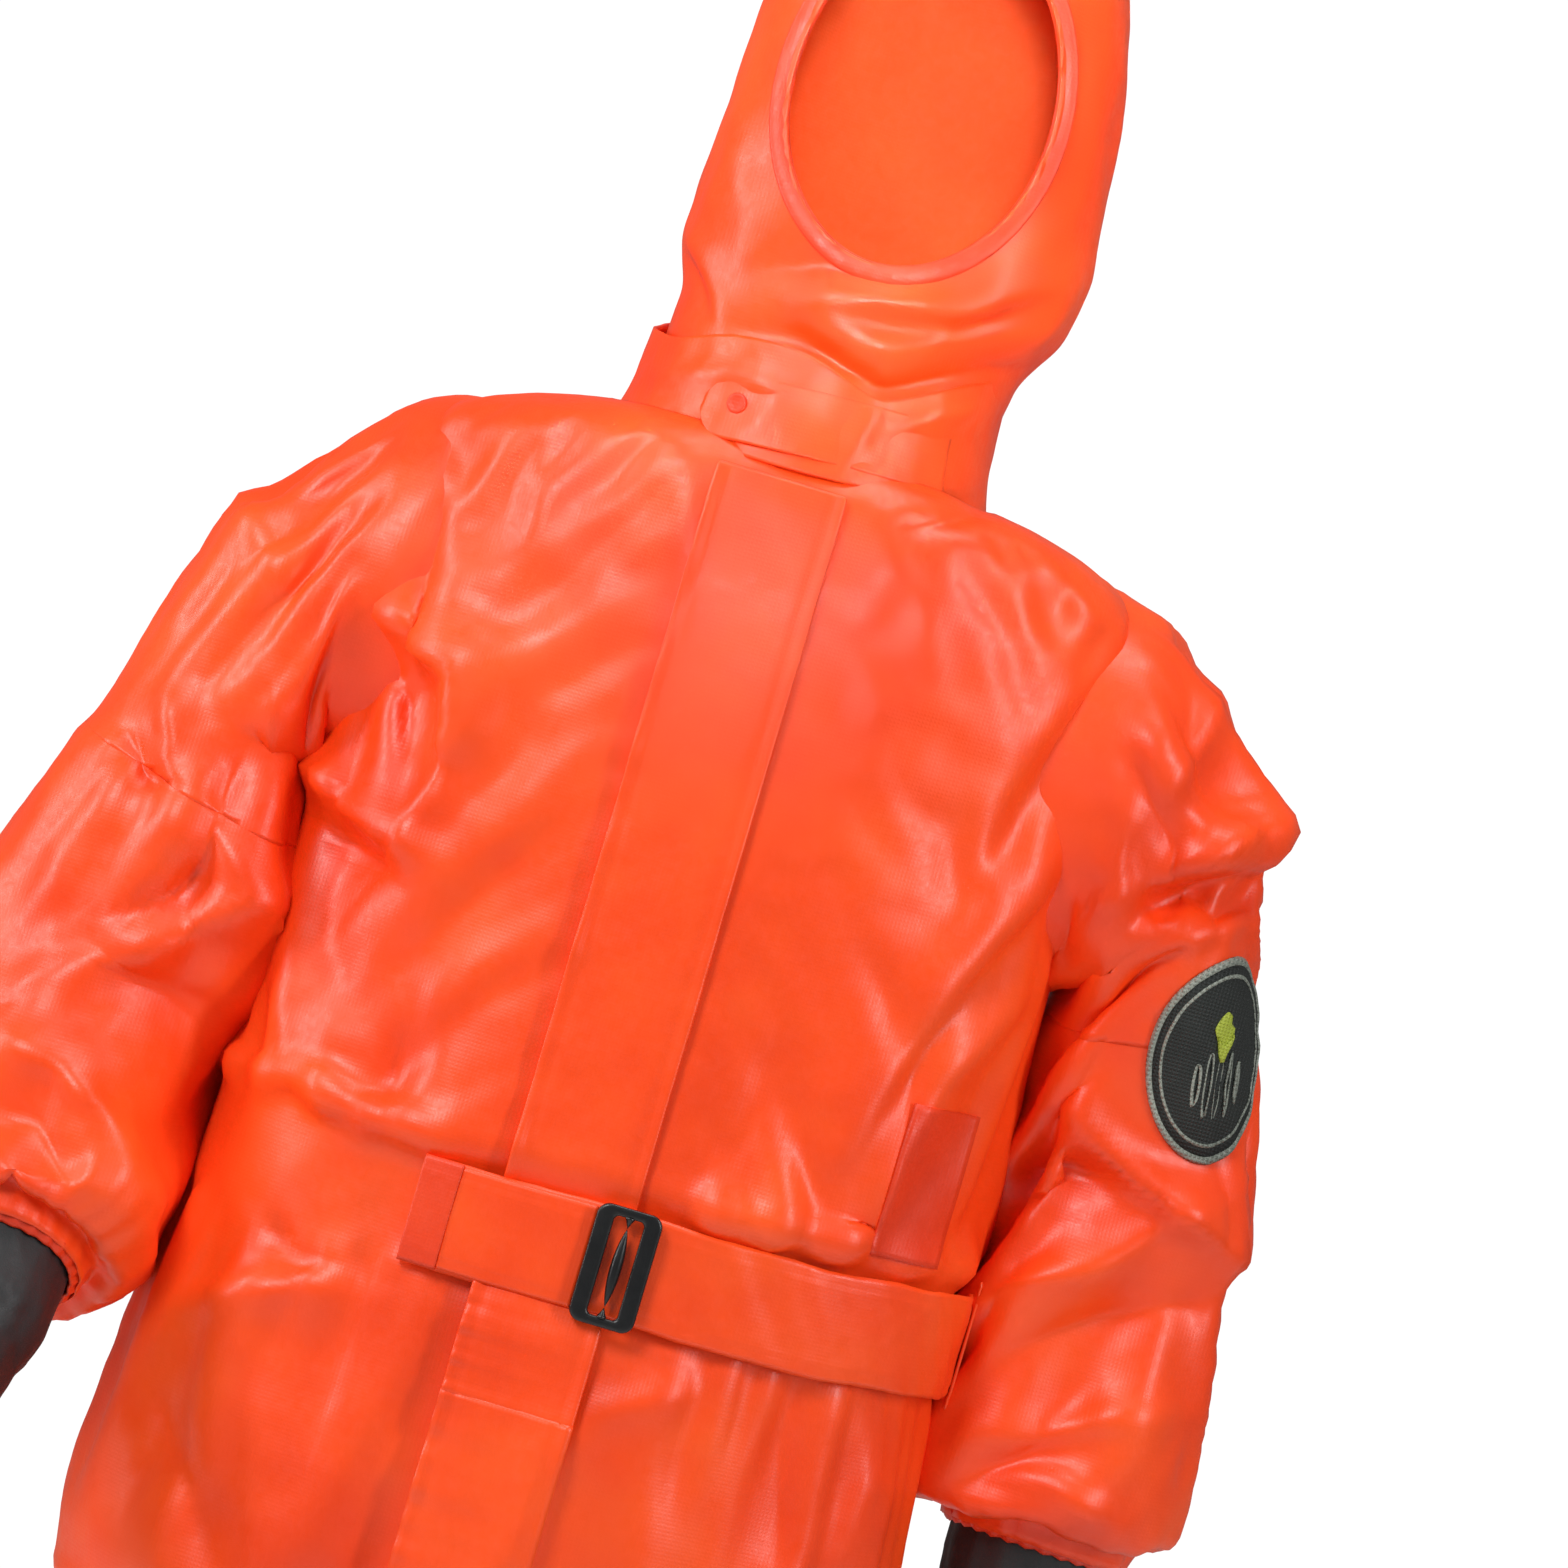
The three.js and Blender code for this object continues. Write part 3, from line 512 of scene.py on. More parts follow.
@dataclass(frozen=True)
class Drape:
    """How a sewn tube of coated cloth is let fall: its slack, stiffness and time to settle."""

    slack: float
    frames: int = 26
    tension: float = 20.0
    bending: float = 6.0
    gravity: float = 1.0
    furthest: float = 0.032

    def settle(self, cloth: Object, held: np.ndarray, body: Object) -> Object:
        """Drapes the cloth over a body, and keeps the shape that it takes.

        Args:
            cloth: The cloth, which is changed.
            held: How firmly each corner is held, from 0 to 1.
            body: What is inside it, which goes.

        Returns:
            The cloth.
        """
        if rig.quick():
            bpy.data.objects.remove(body)
            return cloth
        scene = bpy.context.scene
        before = corners(cloth)
        group = cloth.vertex_groups.new(name="held")
        for k, weight in enumerate(held):
            if weight > 0:
                group.add([k], float(weight), "REPLACE")
        body.modifiers.new("collision", "COLLISION")
        body.collision.thickness_outer = 0.002
        body.collision.cloth_friction = 12
        cloth.modifiers.new("cloth", "CLOTH")
        made = cloth.modifiers["cloth"].settings
        made.quality = 6
        made.mass = 0.35
        made.tension_stiffness = self.tension
        made.compression_stiffness = self.tension
        made.shear_stiffness = self.tension / 2
        made.bending_stiffness = self.bending
        made.tension_damping = made.compression_damping = 12
        made.bending_damping = 2
        made.air_damping = 4
        made.vertex_group_mass = "held"
        made.shrink_min = -self.slack
        made.effector_weights.gravity = self.gravity
        touch = cloth.modifiers["cloth"].collision_settings
        touch.distance_min = 0.002
        touch.collision_quality = 2
        scene.frame_start, scene.frame_end = 1, self.frames
        cloth.modifiers["cloth"].point_cache.frame_end = self.frames
        for number in range(1, self.frames + 1):
            scene.frame_set(number)
        bake(cloth)
        scene.frame_set(1)
        bpy.data.objects.remove(body)
        moved = corners(cloth) - before
        length = np.linalg.norm(moved, axis=1, keepdims=True)
        set_corners(cloth, before + moved * np.minimum(1, self.furthest / np.maximum(length, 1e-9)))
        return cloth


@dataclass(frozen=True)
class Crease:
    """A fold line pressed or raised in the cloth, as it is seen from in front: x and z in millimetres.

    A positive height stands proud and a negative one is pressed in. The fold falls away over the two widths,
    the first on the side to the left of its line as it runs.
    """

    points: tuple[tuple[float, float], ...]
    height: float
    left: float
    right: float
    back: bool = False

    def lift(self, at: np.ndarray, ways: np.ndarray) -> np.ndarray:
        """How far each corner moves out along its own way out.

        Args:
            at: The corners.
            ways: The way out at each.

        Returns:
            One distance for each corner, in metres.
        """
        line = np.array(self.points, float) / 1000
        flat = as_seen(at, self.back)
        best = np.full(len(at), 1e9)
        side = np.zeros(len(at))
        along = np.zeros(len(at))
        lengths = np.linalg.norm(np.diff(line, axis=0), axis=1)
        total, done = lengths.sum(), 0.0
        for a, b, length in zip(line[:-1], line[1:], lengths):
            way = (b - a) / length
            share = np.clip(((flat - a) @ way) / length, 0, 1)
            off = flat - (a + share[:, None] * (b - a))
            far = np.linalg.norm(off, axis=1)
            near = far < best
            best = np.where(near, far, best)
            side = np.where(near, way[0] * off[:, 1] - way[1] * off[:, 0], side)
            along = np.where(near, (done + share * length) / total, along)
            done += length
        width = np.where(side > 0, self.left, self.right) / 1000
        ends = np.sin(math.pi * np.clip(along * 0.86 + 0.07, 0, 1)) ** 0.7
        facing = smooth(ways[:, 1] * (1 if self.back else -1), -0.15, 0.25)
        return self.height / 1000 * np.exp(-((best / width) ** 1.3)) * ends * facing


def press(cloth: Object, creases: Iterable[Crease],
          calm: Optional[Share] = None) -> Object:
    """Presses and raises all the creases in a piece of cloth, but not where it's calm."""
    at, ways = corners(cloth), corner_normals(cloth)
    lift = FOLD_GAIN * sum(crease.lift(at, ways) for crease in creases)
    if calm:
        lift = lift * (1 - calm(at))
    set_corners(cloth, at + ways * lift[:, None])
    return cloth


def crinkle(cloth: Object, size: float, height: float, seed: float,
            where: Optional[Share] = None) -> Object:
    """Small sharp-ridged crinkles all over a piece, as stiff coated cloth has.

    Args:
        cloth: The piece, which is changed.
        size: The crinkles' size.
        height: How far they stand out.
        seed: Which set of crinkles.
        where: How strong they are at each corner, from 0 to 1.

    Returns:
        The cloth.
    """
    at, ways = corners(cloth), corner_normals(cloth)
    stretched = at * np.array((1.0, 1.0, 0.62))
    ridge = 1 - 2 * np.abs(wander(stretched, size, seed))
    ridge = ridge * 0.7 + 0.3 * (1 - 2 * np.abs(wander(at, size * 0.45, seed + 3)))
    share = 1.0 if where is None else where(at)
    set_corners(cloth, at + ways * (ridge * share * height)[:, None])
    return cloth


# ------------------------------------------------------------------ finishes


def linear(colour: str) -> tuple[float, float, float, float]:
    """An sRGB hex colour as the linear one that shaders take."""
    parts = [int(colour[k:k + 2], 16) / 255 for k in (1, 3, 5)]
    low = [c / 12.92 if c <= 0.04045 else ((c + 0.055) / 1.055) ** 2.4 for c in parts]
    return (*low, 1.0)


def add_node(tree: bpy.types.NodeTree, kind: str, settings: Optional[dict] = None,
             links: Optional[dict] = None) -> bpy.types.Node:
    """Adds one node with its settings and its links.

    Args:
        tree: The node tree.
        kind: Blender's name of the node.
        settings: Names of the node's own settings, or of its inputs, with their values.
        links: Names or numbers of its inputs, with the sockets that feed them.

    Returns:
        The node.
    """
    node = tree.nodes.new(kind)
    for key, value in (settings or {}).items():
        if isinstance(key, str) and hasattr(node, key):
            setattr(node, key, value)
        else:
            node.inputs[key].default_value = value
    for key, socket in (links or {}).items():
        tree.links.new(socket, node.inputs[key])
    return node


class Weave(Enum):
    """How the surface of a finish was made."""

    COATED = "coated cloth"
    TAPE = "woven tape"
    MOULDED = "moulded"
    EMBROIDERED = "embroidered"


@dataclass(frozen=True)
class Finish:
    """A real surface: its colours, its gloss and the size of its pattern in millimetres."""

    name: str
    weave: Weave
    base: str
    shade: str
    light: str
    roughness: float
    pattern_mm: float
    bump: float
    crinkle_mm: float = 9.0
    crinkle_bump: float = 0.0
    metallic: float = 0.0
    coat: float = 0.0
    ior: float = 1.5

    def make(self) -> bpy.types.Material:
        """The finish as a node material, in real sizes."""
        material = bpy.data.materials.new(self.name)
        material.use_nodes = True
        tree = material.node_tree
        tree.nodes.clear()
        place = add_node(tree, "ShaderNodeTexCoord").outputs["Object"]
        blotch = add_node(tree, "ShaderNodeTexNoise",
                          {"Scale": 1000 / BLOTCH, "Detail": 3.0, "Roughness": 0.55}, {"Vector": place})
        tone = add_node(tree, "ShaderNodeValToRGB", links={"Fac": blotch.outputs["Fac"]})
        tone.color_ramp.elements[0].position, tone.color_ramp.elements[1].position = 0.34, 0.66
        tone.color_ramp.elements[0].color = linear(self.shade)
        tone.color_ramp.elements[1].color = linear(self.light)
        middle = tone.color_ramp.elements.new(0.5)
        middle.color = linear(self.base)
        height = self.pattern(tree, place)
        fine = add_node(tree, "ShaderNodeBump", {"Strength": self.bump, "Distance": self.pattern_mm / 1000},
                        {"Height": height})
        crumple = add_node(tree, "ShaderNodeTexNoise",
                           {"Scale": 1000 / self.crinkle_mm, "Detail": 4.0, "Roughness": 0.6,
                            "Distortion": 0.6}, {"Vector": place})
        bump = add_node(tree, "ShaderNodeBump",
                        {"Strength": self.crinkle_bump, "Distance": self.crinkle_mm / 4000},
                        {"Height": crumple.outputs["Fac"], "Normal": fine.outputs["Normal"]})
        dull = add_node(tree, "ShaderNodeMapRange",
                        {"From Min": 0.3, "From Max": 0.7, "To Min": self.roughness * 0.85,
                         "To Max": min(1.0, self.roughness * 1.2)}, {"Value": crumple.outputs["Fac"]})
        shader = add_node(tree, "ShaderNodeBsdfPrincipled",
                          {"Metallic": self.metallic, "Coat Weight": self.coat, "Coat Roughness": 0.12,
                           "IOR": self.ior},
                          {"Base Color": tone.outputs["Color"], "Roughness": dull.outputs["Result"],
                           "Normal": bump.outputs["Normal"]})
        add_node(tree, "ShaderNodeOutputMaterial", links={"Surface": shader.outputs["BSDF"]})
        return material

    def pattern(self, tree: bpy.types.NodeTree, place: bpy.types.NodeSocket) -> bpy.types.NodeSocket:
        """The height of the finish's fine pattern: threads, stitches or moulding grain."""
        scale = 1000 / self.pattern_mm
        if self.weave is Weave.MOULDED:
            return add_node(tree, "ShaderNodeTexNoise", {"Scale": scale, "Detail": 2.0},
                            {"Vector": place}).outputs["Fac"]
        threads = [
            add_node(tree, "ShaderNodeTexWave",
                     {"bands_direction": way, "Scale": scale / THREAD_BANDS / THREADS_COARSER,
                      "Distortion": 0.4, "Detail": 1.0}, {"Vector": place}).outputs["Fac"]
            for way in ("X", "Z")
        ]
        return add_node(tree, "ShaderNodeMath", {"operation": "MULTIPLY"},
                        {0: threads[0], 1: threads[1]}).outputs[0]


# Rubber-coated polyester: the coating is cast on, so a wet gloss lies over a faint ghost of the weave.
COATED_CLOTH = Finish("rubber_coated_polyester_cast", Weave.COATED, "#fb4a12", "#f0400c", "#ff5519",
                      0.38, 1.1, 0.05, crinkle_mm=6.0, crinkle_bump=0.07)
# The same cloth's inside, which has no coating: matt, and painted paler than the cloth so that the shaded hollow of
# the hood shows bright through the face opening. The paleness is painted light.
CLOTH_INSIDE_PAINTED_LIGHT = Finish("polyester_lining_uncoated_painted_light", Weave.COATED, "#ff6a2e", "#ff6228", "#ff7236",
                      0.85, 1.1, 0.10, crinkle_mm=8.0, crinkle_bump=0.05)
# The same cloth in two glued layers: duller, and painted a little deeper. The deeper colour is painted shade where it
# lies along the face hem's rim and on the side patch.
DOUBLED_AND_SHADED_CLOTH = Finish("rubber_coated_polyester_doubled_painted_shade", Weave.COATED, "#e83a10", "#d4300a", "#f04316",
                       0.44, 1.1, 0.08, crinkle_mm=5.0, crinkle_bump=0.18)
# Dipped natural rubber: soft, grainy and nearly matt.
BLACK_RUBBER = Finish("natural_rubber_dipped", Weave.MOULDED, "#1d2022", "#17191b", "#26292b",
                      0.52, 0.9, 0.22, crinkle_mm=11.0, crinkle_bump=0.12, ior=1.52)
# Moulded nylon buckle: dark, with a low moulded sheen.
BLACK_NYLON = Finish("nylon_moulded", Weave.MOULDED, "#101214", "#0c0d0f", "#17191b",
                     0.32, 0.6, 0.10, crinkle_mm=14.0, crinkle_bump=0.04, ior=1.53)
# Woven zip and hook tape: visible threads and no gloss.
RED_TAPE = Finish("polyester_tape_woven", Weave.TAPE, "#a8240e", "#8f1b09", "#bd2f14",
                  0.75, 1.2, 0.6)
# Die-cast slider and teeth: satin metal.
ZIP_METAL = Finish("zinc_alloy_die_cast", Weave.MOULDED, "#b4b7ba", "#9da0a3", "#c6c9cc",
                   0.30, 0.5, 0.08, metallic=1.0)
# The badge's embroidered ground: near black, with rows of thread that catch a little light.
BADGE_GROUND = Finish("polyester_badge_embroidered", Weave.EMBROIDERED, "#1c211f", "#141816", "#2a302d",
                      0.62, 1.1, 0.7)
# The badge's overlocked rim and its bars: silver grey thread that glints along its rows.
BADGE_RIM = Finish("silver_thread_merrowed", Weave.EMBROIDERED, "#8d9389", "#6b7168", "#b6bbae",
                   0.42, 1.3, 0.8)
# The badge's leaf: satin stitches of a yellow green thread.
BADGE_MARK = Finish("yellow_green_thread_embroidered", Weave.EMBROIDERED, "#a9b63a", "#8b9a2a", "#c3cc5a",
                    0.5, 1.0, 0.7)


class Palette:
    """All the finishes as materials, made once, and how they're put on a piece."""

    def __init__(self) -> None:
        """Makes every material."""
        self.cloth = COATED_CLOTH.make()
        # the two-layer finish's deeper colour is painted shade at the face hem and the side patch
        self.doubled_and_shaded = DOUBLED_AND_SHADED_CLOTH.make()
        # the lining's paleness is painted light in the shaded hollow of the hood
        self.inside = CLOTH_INSIDE_PAINTED_LIGHT.make()
        self.rubber = BLACK_RUBBER.make()
        self.nylon = BLACK_NYLON.make()
        self.tape = RED_TAPE.make()
        self.metal = ZIP_METAL.make()
        self.badge_ground = BADGE_GROUND.make()
        self.badge_rim = BADGE_RIM.make()
        self.badge_mark = BADGE_MARK.make()

    @staticmethod
    def dress(piece: Object, material: bpy.types.Material, slot: str = "coated_fabric",
              inside: Optional[bpy.types.Material] = None) -> Object:
        """Gives a piece its material and names the record's slot for it.

        Args:
            piece: The piece.
            material: Its finish.
            slot: The record's material slot.
            inside: The finish of its inside, if that's another.

        Returns:
            The piece.
        """
        sides = np.array([p.material_index for p in piece.data.polygons])
        piece.data.materials.clear()
        piece.data.materials.append(material)
        if inside:
            piece.data.materials.append(inside)
            piece.data.polygons.foreach_set("material_index", sides)
        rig.slot(piece, slot)
        LOG.info("%s: %s, %d faces", piece.name, material.name, len(piece.data.polygons))
        return piece

    def fit(self, piece: Object, body: str, nodes: Sequence[str], material: bpy.types.Material,
            slot: str = "coated_fabric") -> Object:
        """Puts a piece on its body in place of some fixed pieces, and dresses it.

        Args:
            piece: The piece.
            body: The body that it moves with.
            nodes: The fixed pieces that it stands for.
            material: Its finish.
            slot: The record's material slot.

        Returns:
            The piece.
        """
        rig.ride(piece, body)
        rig.replaces(piece, *nodes)
        return self.dress(piece, material, slot)


# ------------------------------------------------------------------ the suit's body


@dataclass
class Trunk:
    """The suit's body from the neck to the crotch: one wide, loose tube with room inside for the wearer."""

    # z, half width, front and back, in millimetres
    sections: tuple[tuple[float, float, float, float], ...] = (
        (-2, 117, 110, 103),
        (-12, 162, 119, 111),
        (-30, 200, 128, 119),
        (-60, 214, 132, 127),
        (-110, 219, 135, 136),
        (-180, 220, 138, 141),
        (-250, 219, 142, 141),
        (-330, 220, 146, 137),
        (-410, 223, 150, 133),
        (-480, 225, 153, 133),
        (-560, 234, 157, 143),
        (-640, 238, 161, 151),
        (-700, 232, 158, 147),
        (-745, 222, 140, 132),
    )
    squareness: float = 2.4
    rows: int = 72
    columns: int = 112
    belt_z: float = -464
    belt_half: float = 27
    belt_cinch: float = 5
    # each armhole's middle in y and z, its half sizes, and how far out it starts
    armhole: tuple[float, float] = (8, -136)
    armhole_half: tuple[float, float] = (83, 106)
    armhole_x: float = 170
    placket_low: float = -560
    drape: Drape = Drape(slack=0.028, tension=14, bending=2.0, furthest=0.024)

    folds: tuple[Crease, ...] = (
        # the big fold from the armhole down the wearer's right breast
        Crease(((-238, -146), (-190, -160), (-152, -174), (-145, -205), (-148, -245), (-156, -270)),
               17, 30, 9),
        Crease(((-222, -172), (-182, -195), (-170, -235)), -9, 14, 14),
        Crease(((-235, -246), (-190, -268), (-150, -284)), 11, 16, 7),
        Crease(((-220, -276), (-180, -292), (-152, -300)), -8, 8, 12),
        Crease(((-156, -268), (-113, -360), (-78, -435)), 4, 24, 20),
        # the long soft streaks down the wearer's left side
        Crease(((222, -150), (182, -231), (147, -323), (128, -400)), 11, 16, 26),
        Crease(((212, -250), (176, -318), (158, -400)), 9, 12, 18),
        Crease(((214, -200), (172, -275), (150, -350)), -7, 10, 12),
        Crease(((139, -14), (172, -36), (206, -52)), 5, 10, 14),
        # pleats from under the collar
        Crease(((-68, -18), (-52, -52), (-44, -90)), 3, 9, 9),
        Crease(((62, -24), (84, -14), (118, 6)), -4, 8, 8),
        Crease(((60, -30), (90, -60), (112, -110)), 3, 16, 16),
        # the pouch above the belt, and the folds that the belt pulls together
        Crease(((-190, -420), (-130, -438), (-60, -440)), 7, 20, 10),
        Crease(((50, -436), (120, -432), (190, -420)), 6, 20, 10),
        Crease(((60, -430), (78, -380), (82, -330)), -4, 12, 12),
        Crease(((-120, -438), (-128, -390), (-118, -350)), -4, 12, 12),
        Crease(((150, -446), (162, -400), (160, -360)), 5, 12, 12),
        Crease(((-205, -572), (-166, -550), (-127, -530), (-87, -512)), 9, 12, 20),
        Crease(((-170, -512), (-148, -530), (-92, -520)), -6, 8, 8),
        Crease(((30, -600), (47, -561), (96, -530)), 6, 14, 14),
        Crease(((152, -520), (158, -570), (172, -625)), -7, 14, 14),
        Crease(((190, -516), (200, -560), (196, -620)), 6, 14, 14),
        Crease(((96, -520), (112, -580), (110, -640)), 4, 16, 16),
        Crease(((-166, -570), (-136, -640), (-126, -708)), 6, 16, 20),
        Crease(((-60, -560), (-74, -630), (-60, -700)), -4, 18, 18),
        Crease(((12, -580), (20, -640), (4, -700)), 4, 16, 14),
        Crease(((-208, -620), (-180, -660), (-150, -700)), -6, 14, 14),
        # the back
        Crease(((-190, -150), (-120, -210), (-60, -240)), 8, 20, 12, back=True),
        Crease(((190, -150), (130, -220), (70, -255)), 8, 12, 20, back=True),
        Crease(((-150, -260), (-110, -340), (-90, -430)), 6, 20, 20, back=True),
        Crease(((150, -280), (110, -350), (70, -430)), 6, 20, 20, back=True),
        Crease(((0, -120), (10, -260), (-6, -420)), -5, 24, 24, back=True),
        Crease(((-160, -520), (-120, -570), (-60, -600)), 8, 14, 18, back=True),
        Crease(((160, -520), (120, -580), (50, -610)), 8, 18, 14, back=True),
    )

    def rings(self, grow: float = 0.0) -> list[Ring]:
        """The body's sections as rings, grown by some millimetres."""
        return [
            level_ring(mm(z), mm(w + grow), mm(f + grow), mm(b + grow), power=self.squareness)
            for z, w, f, b in self.sections
        ]

    def pinched(self, grid: np.ndarray) -> np.ndarray:
        """Brings the front and the back together between the legs, so that two lobes are left."""
        z = grid[..., 2]
        share = smooth(-z, 0.655, 0.745) * 0.97
        grid[..., 1] *= 1 - share * np.exp(-((grid[..., 0] / 0.055) ** 2))
        return grid

    def sleeve_mouth(self, at: np.ndarray) -> np.ndarray:
        """Less than 1 inside the armholes, as a share of their size."""
        y, z = self.armhole
        deep, tall = self.armhole_half
        across = (at[:, 1] - mm(y)) / mm(deep)
        up = (at[:, 2] - mm(z)) / mm(tall)
        return np.where(np.abs(at[:, 0]) > mm(self.armhole_x), np.hypot(across, up), OUTSIDE)

    def held(self, at: np.ndarray) -> np.ndarray:
        """How firmly each corner is held: by the collar, the legs, the belt, the sleeves and the zip."""
        z = at[:, 2] * 1000
        firm = np.maximum(smooth(z, -30, -14), smooth(-z, 726, 740))
        firm = np.maximum(firm, 1 - smooth(np.abs(z - self.belt_z), self.belt_half, self.belt_half + 12))
        firm = np.maximum(firm, 1 - smooth(self.sleeve_mouth(at), 0.98, 1.12))
        placket = (at[:, 1] < 0) & (z > self.placket_low)
        beside_zip = 0.8 * (1 - smooth(np.abs(at[:, 0]), 0.045, 0.075))
        firm = np.where(placket, np.maximum(firm, beside_zip), firm)
        breast = (at[:, 1] < 0) * (1 - smooth(np.abs(at[:, 0] - 0.03), 0.07, 0.15))
        return np.maximum(firm, 0.45 * breast * smooth(z, -400, -330))

    def build(self, palette: Palette) -> Object:
        """Makes the body, draws it in at the belt, drapes it, presses its folds and dresses it."""
        cloth = grid_mesh("suit_trunk", self.pinched(swept(self.rings(), self.rows, self.columns)))
        inner = grid_mesh("wearer_inside", self.pinched(swept(self.rings(-11), 40, 56)), caps=True)
        at, ways = corners(cloth), corner_normals(cloth)
        off_belt = np.abs(at[:, 2] * 1000 - self.belt_z)
        pull = 1 - smooth(off_belt, self.belt_half, self.belt_half + 18)
        set_corners(cloth, at - ways * (pull * self.belt_cinch / 1000)[:, None])
        self.drape.settle(cloth, self.held(at), inner)
        shaped(cloth, "SUBSURF", levels=1, render_levels=1)
        press(cloth, self.folds)
        self.crumple(cloth)
        thicken(cloth, mm(BODY_CLOTH))
        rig.ride(cloth, "torso")
        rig.replaces(cloth, "front_left_panel", "front_right_panel", "back_panel", "seat_and_crotch")
        return palette.dress(cloth, palette.cloth)

    def crumple(self, cloth: Object) -> None:
        """Gathers the cloth in small pleats at the belt, and crinkles it everywhere a little."""
        at, ways = corners(cloth), corner_normals(cloth)
        z = at[:, 2] * 1000
        off = np.abs(z - self.belt_z) - self.belt_half
        near = smooth(off, 0, 8) * (1 - smooth(off, 20, 85))
        round_body = np.arctan2(at[:, 1], at[:, 0])
        drift = wander(at * np.array((1, 1, 0.3)), 0.09, 5.0)
        pleat = np.sin(round_body * 26 + drift * 9)
        pleat = np.sign(pleat) * np.abs(pleat) ** 1.4
        share = near * (0.45 + 0.55 * np.clip(drift + 0.4, 0, 1))
        placket = 1 - (at[:, 1] < 0) * (1 - smooth(np.abs(at[:, 0]), 0.04, 0.07))
        set_corners(cloth, at + ways * (pleat * share * placket * mm(3.2))[:, None])
        crinkle(cloth, 0.075, mm(2.2), 11.0, lambda p: 0.25 + 0.75 * (1 - np.exp(-(p[:, 0] / 0.09) ** 2)))


@dataclass
class Limb:
    """A loose tube of cloth along an arm or a leg, draped round a slimmer limb and gathered at its hem."""

    side: str
    rings: list[Ring]
    rows: int
    columns: int
    drape: Drape
    inner: float
    hem_pleats: int = 22
    folds: tuple[Crease, ...] = ()
    calm: Optional[Share] = None

    def sign(self) -> int:
        """+1 on the wearer's left and -1 on the right."""
        return 1 if self.side == "left" else -1

    def tube(self, name: str, hold_top: float, hold_hem: float) -> Object:
        """Makes the tube, drapes it round the limb and gathers its hem.

        Args:
            name: The piece's name.
            hold_top: The share of its length that is held at the top.
            hold_hem: The share that is held at the hem.

        Returns:
            The draped tube, still in one piece.
        """
        cloth = grid_mesh(name, swept(self.rings, self.rows, self.columns))
        thin = [
            Ring(r.middle, r.across * self.inner, r.front * self.inner, r.back * self.inner, r.power)
            for r in self.rings
        ]
        body = grid_mesh("limb_inside", swept(thin, 24, 24), caps=True)
        share = np.repeat(np.linspace(0, 1, self.rows), self.columns)
        top = 1 - smooth(share, hold_top * 0.7, hold_top)
        held = np.maximum(top, smooth(share, 1 - hold_hem, 1 - hold_hem * 0.5))
        if self.calm:
            held = np.maximum(held, 0.9 * self.calm(corners(cloth)))
        self.drape.settle(cloth, held, body)
        self.gather(cloth, share)
        shaped(cloth, "SUBSURF", levels=1, render_levels=1)
        press(cloth, self.folds, self.calm)
        return cloth

    def gather(self, cloth: Object, share: np.ndarray) -> None:
        """Draws the hem in with small pleats that fade up the limb."""
        at, ways = corners(cloth), corner_normals(cloth)
        turn = np.tile(np.arange(self.columns) * math.tau / self.columns, self.rows)
        pleat = np.sin(turn * self.hem_pleats + 2.0 * np.sin(turn * 3 + self.sign()))
        near = smooth(share, 0.84, 0.95) * (1 - 0.5 * smooth(share, 0.97, 1.0))
        set_corners(cloth, at + ways * (pleat * near * mm(2.4))[:, None])


def parted(cloth: Object, upper: str, lower: str, along: np.ndarray,
           middle: float) -> tuple[Object, Object]:
    """Parts a draped tube in two at a plane, each keeping the whole tube's shading at the join.

    Args:
        cloth: The tube, which goes.
        upper: The name of the first piece.
        lower: The name of the second piece.
        along: The direction in which the tube runs, at length one.
        middle: Where the plane crosses that direction. The second piece reaches a lap further up.

    Returns:
        The first and the second piece.
    """
    halves = []
    for name, keep_low in ((upper, False), (lower, True)):
        half = copy_of(cloth, name)
        cut = middle - (mm(LAP) if keep_low else 0)
        shape = bmesh.new()
        shape.from_mesh(half.data)
        bmesh.ops.bisect_plane(
            shape,
            geom=shape.verts[:] + shape.edges[:] + shape.faces[:],
            plane_co=along * cut,
            plane_no=along,
            clear_inner=keep_low,
            clear_outer=not keep_low,
        )
        shape.to_mesh(half.data)
        shape.free()
        halves.append(half)
    inside = halves[1]
    at, ways = corners(inside), corner_normals(inside)
    tucked = 1 - smooth(at @ along, middle - mm(LAP), middle)
    set_corners(inside, at - ways * (tucked * mm(TUCK))[:, None])
    for half in halves:
        keep_shading(half, cloth)
    bpy.data.objects.remove(cloth)
    return halves[0], halves[1]


def keep_shading(part: Object, whole: Object) -> None:
    """Shades a cut part as the whole cloth was, so that the cut doesn't show.

    Args:
        part: The cut part.
        whole: The cloth that it came from.
    """
    tree = BVHTree.FromObject(whole, bpy.context.evaluated_depsgraph_get())
    ways = corner_normals(whole)
    mesh = whole.data
    shading = []
    for vert in part.data.vertices:
        place, _, index, off = tree.find_nearest(vert.co)
        if off > mm(0.3):
            shading.append(tuple(vert.normal))
            continue
        around = mesh.polygons[index].vertices
        shares = poly_3d_calc([mesh.vertices[k].co for k in around], place)
        shading.append(tuple(unit(sum(share * ways[k] for share, k in zip(shares, around)))))
    part.data.normals_split_custom_set_from_vertices(shading)


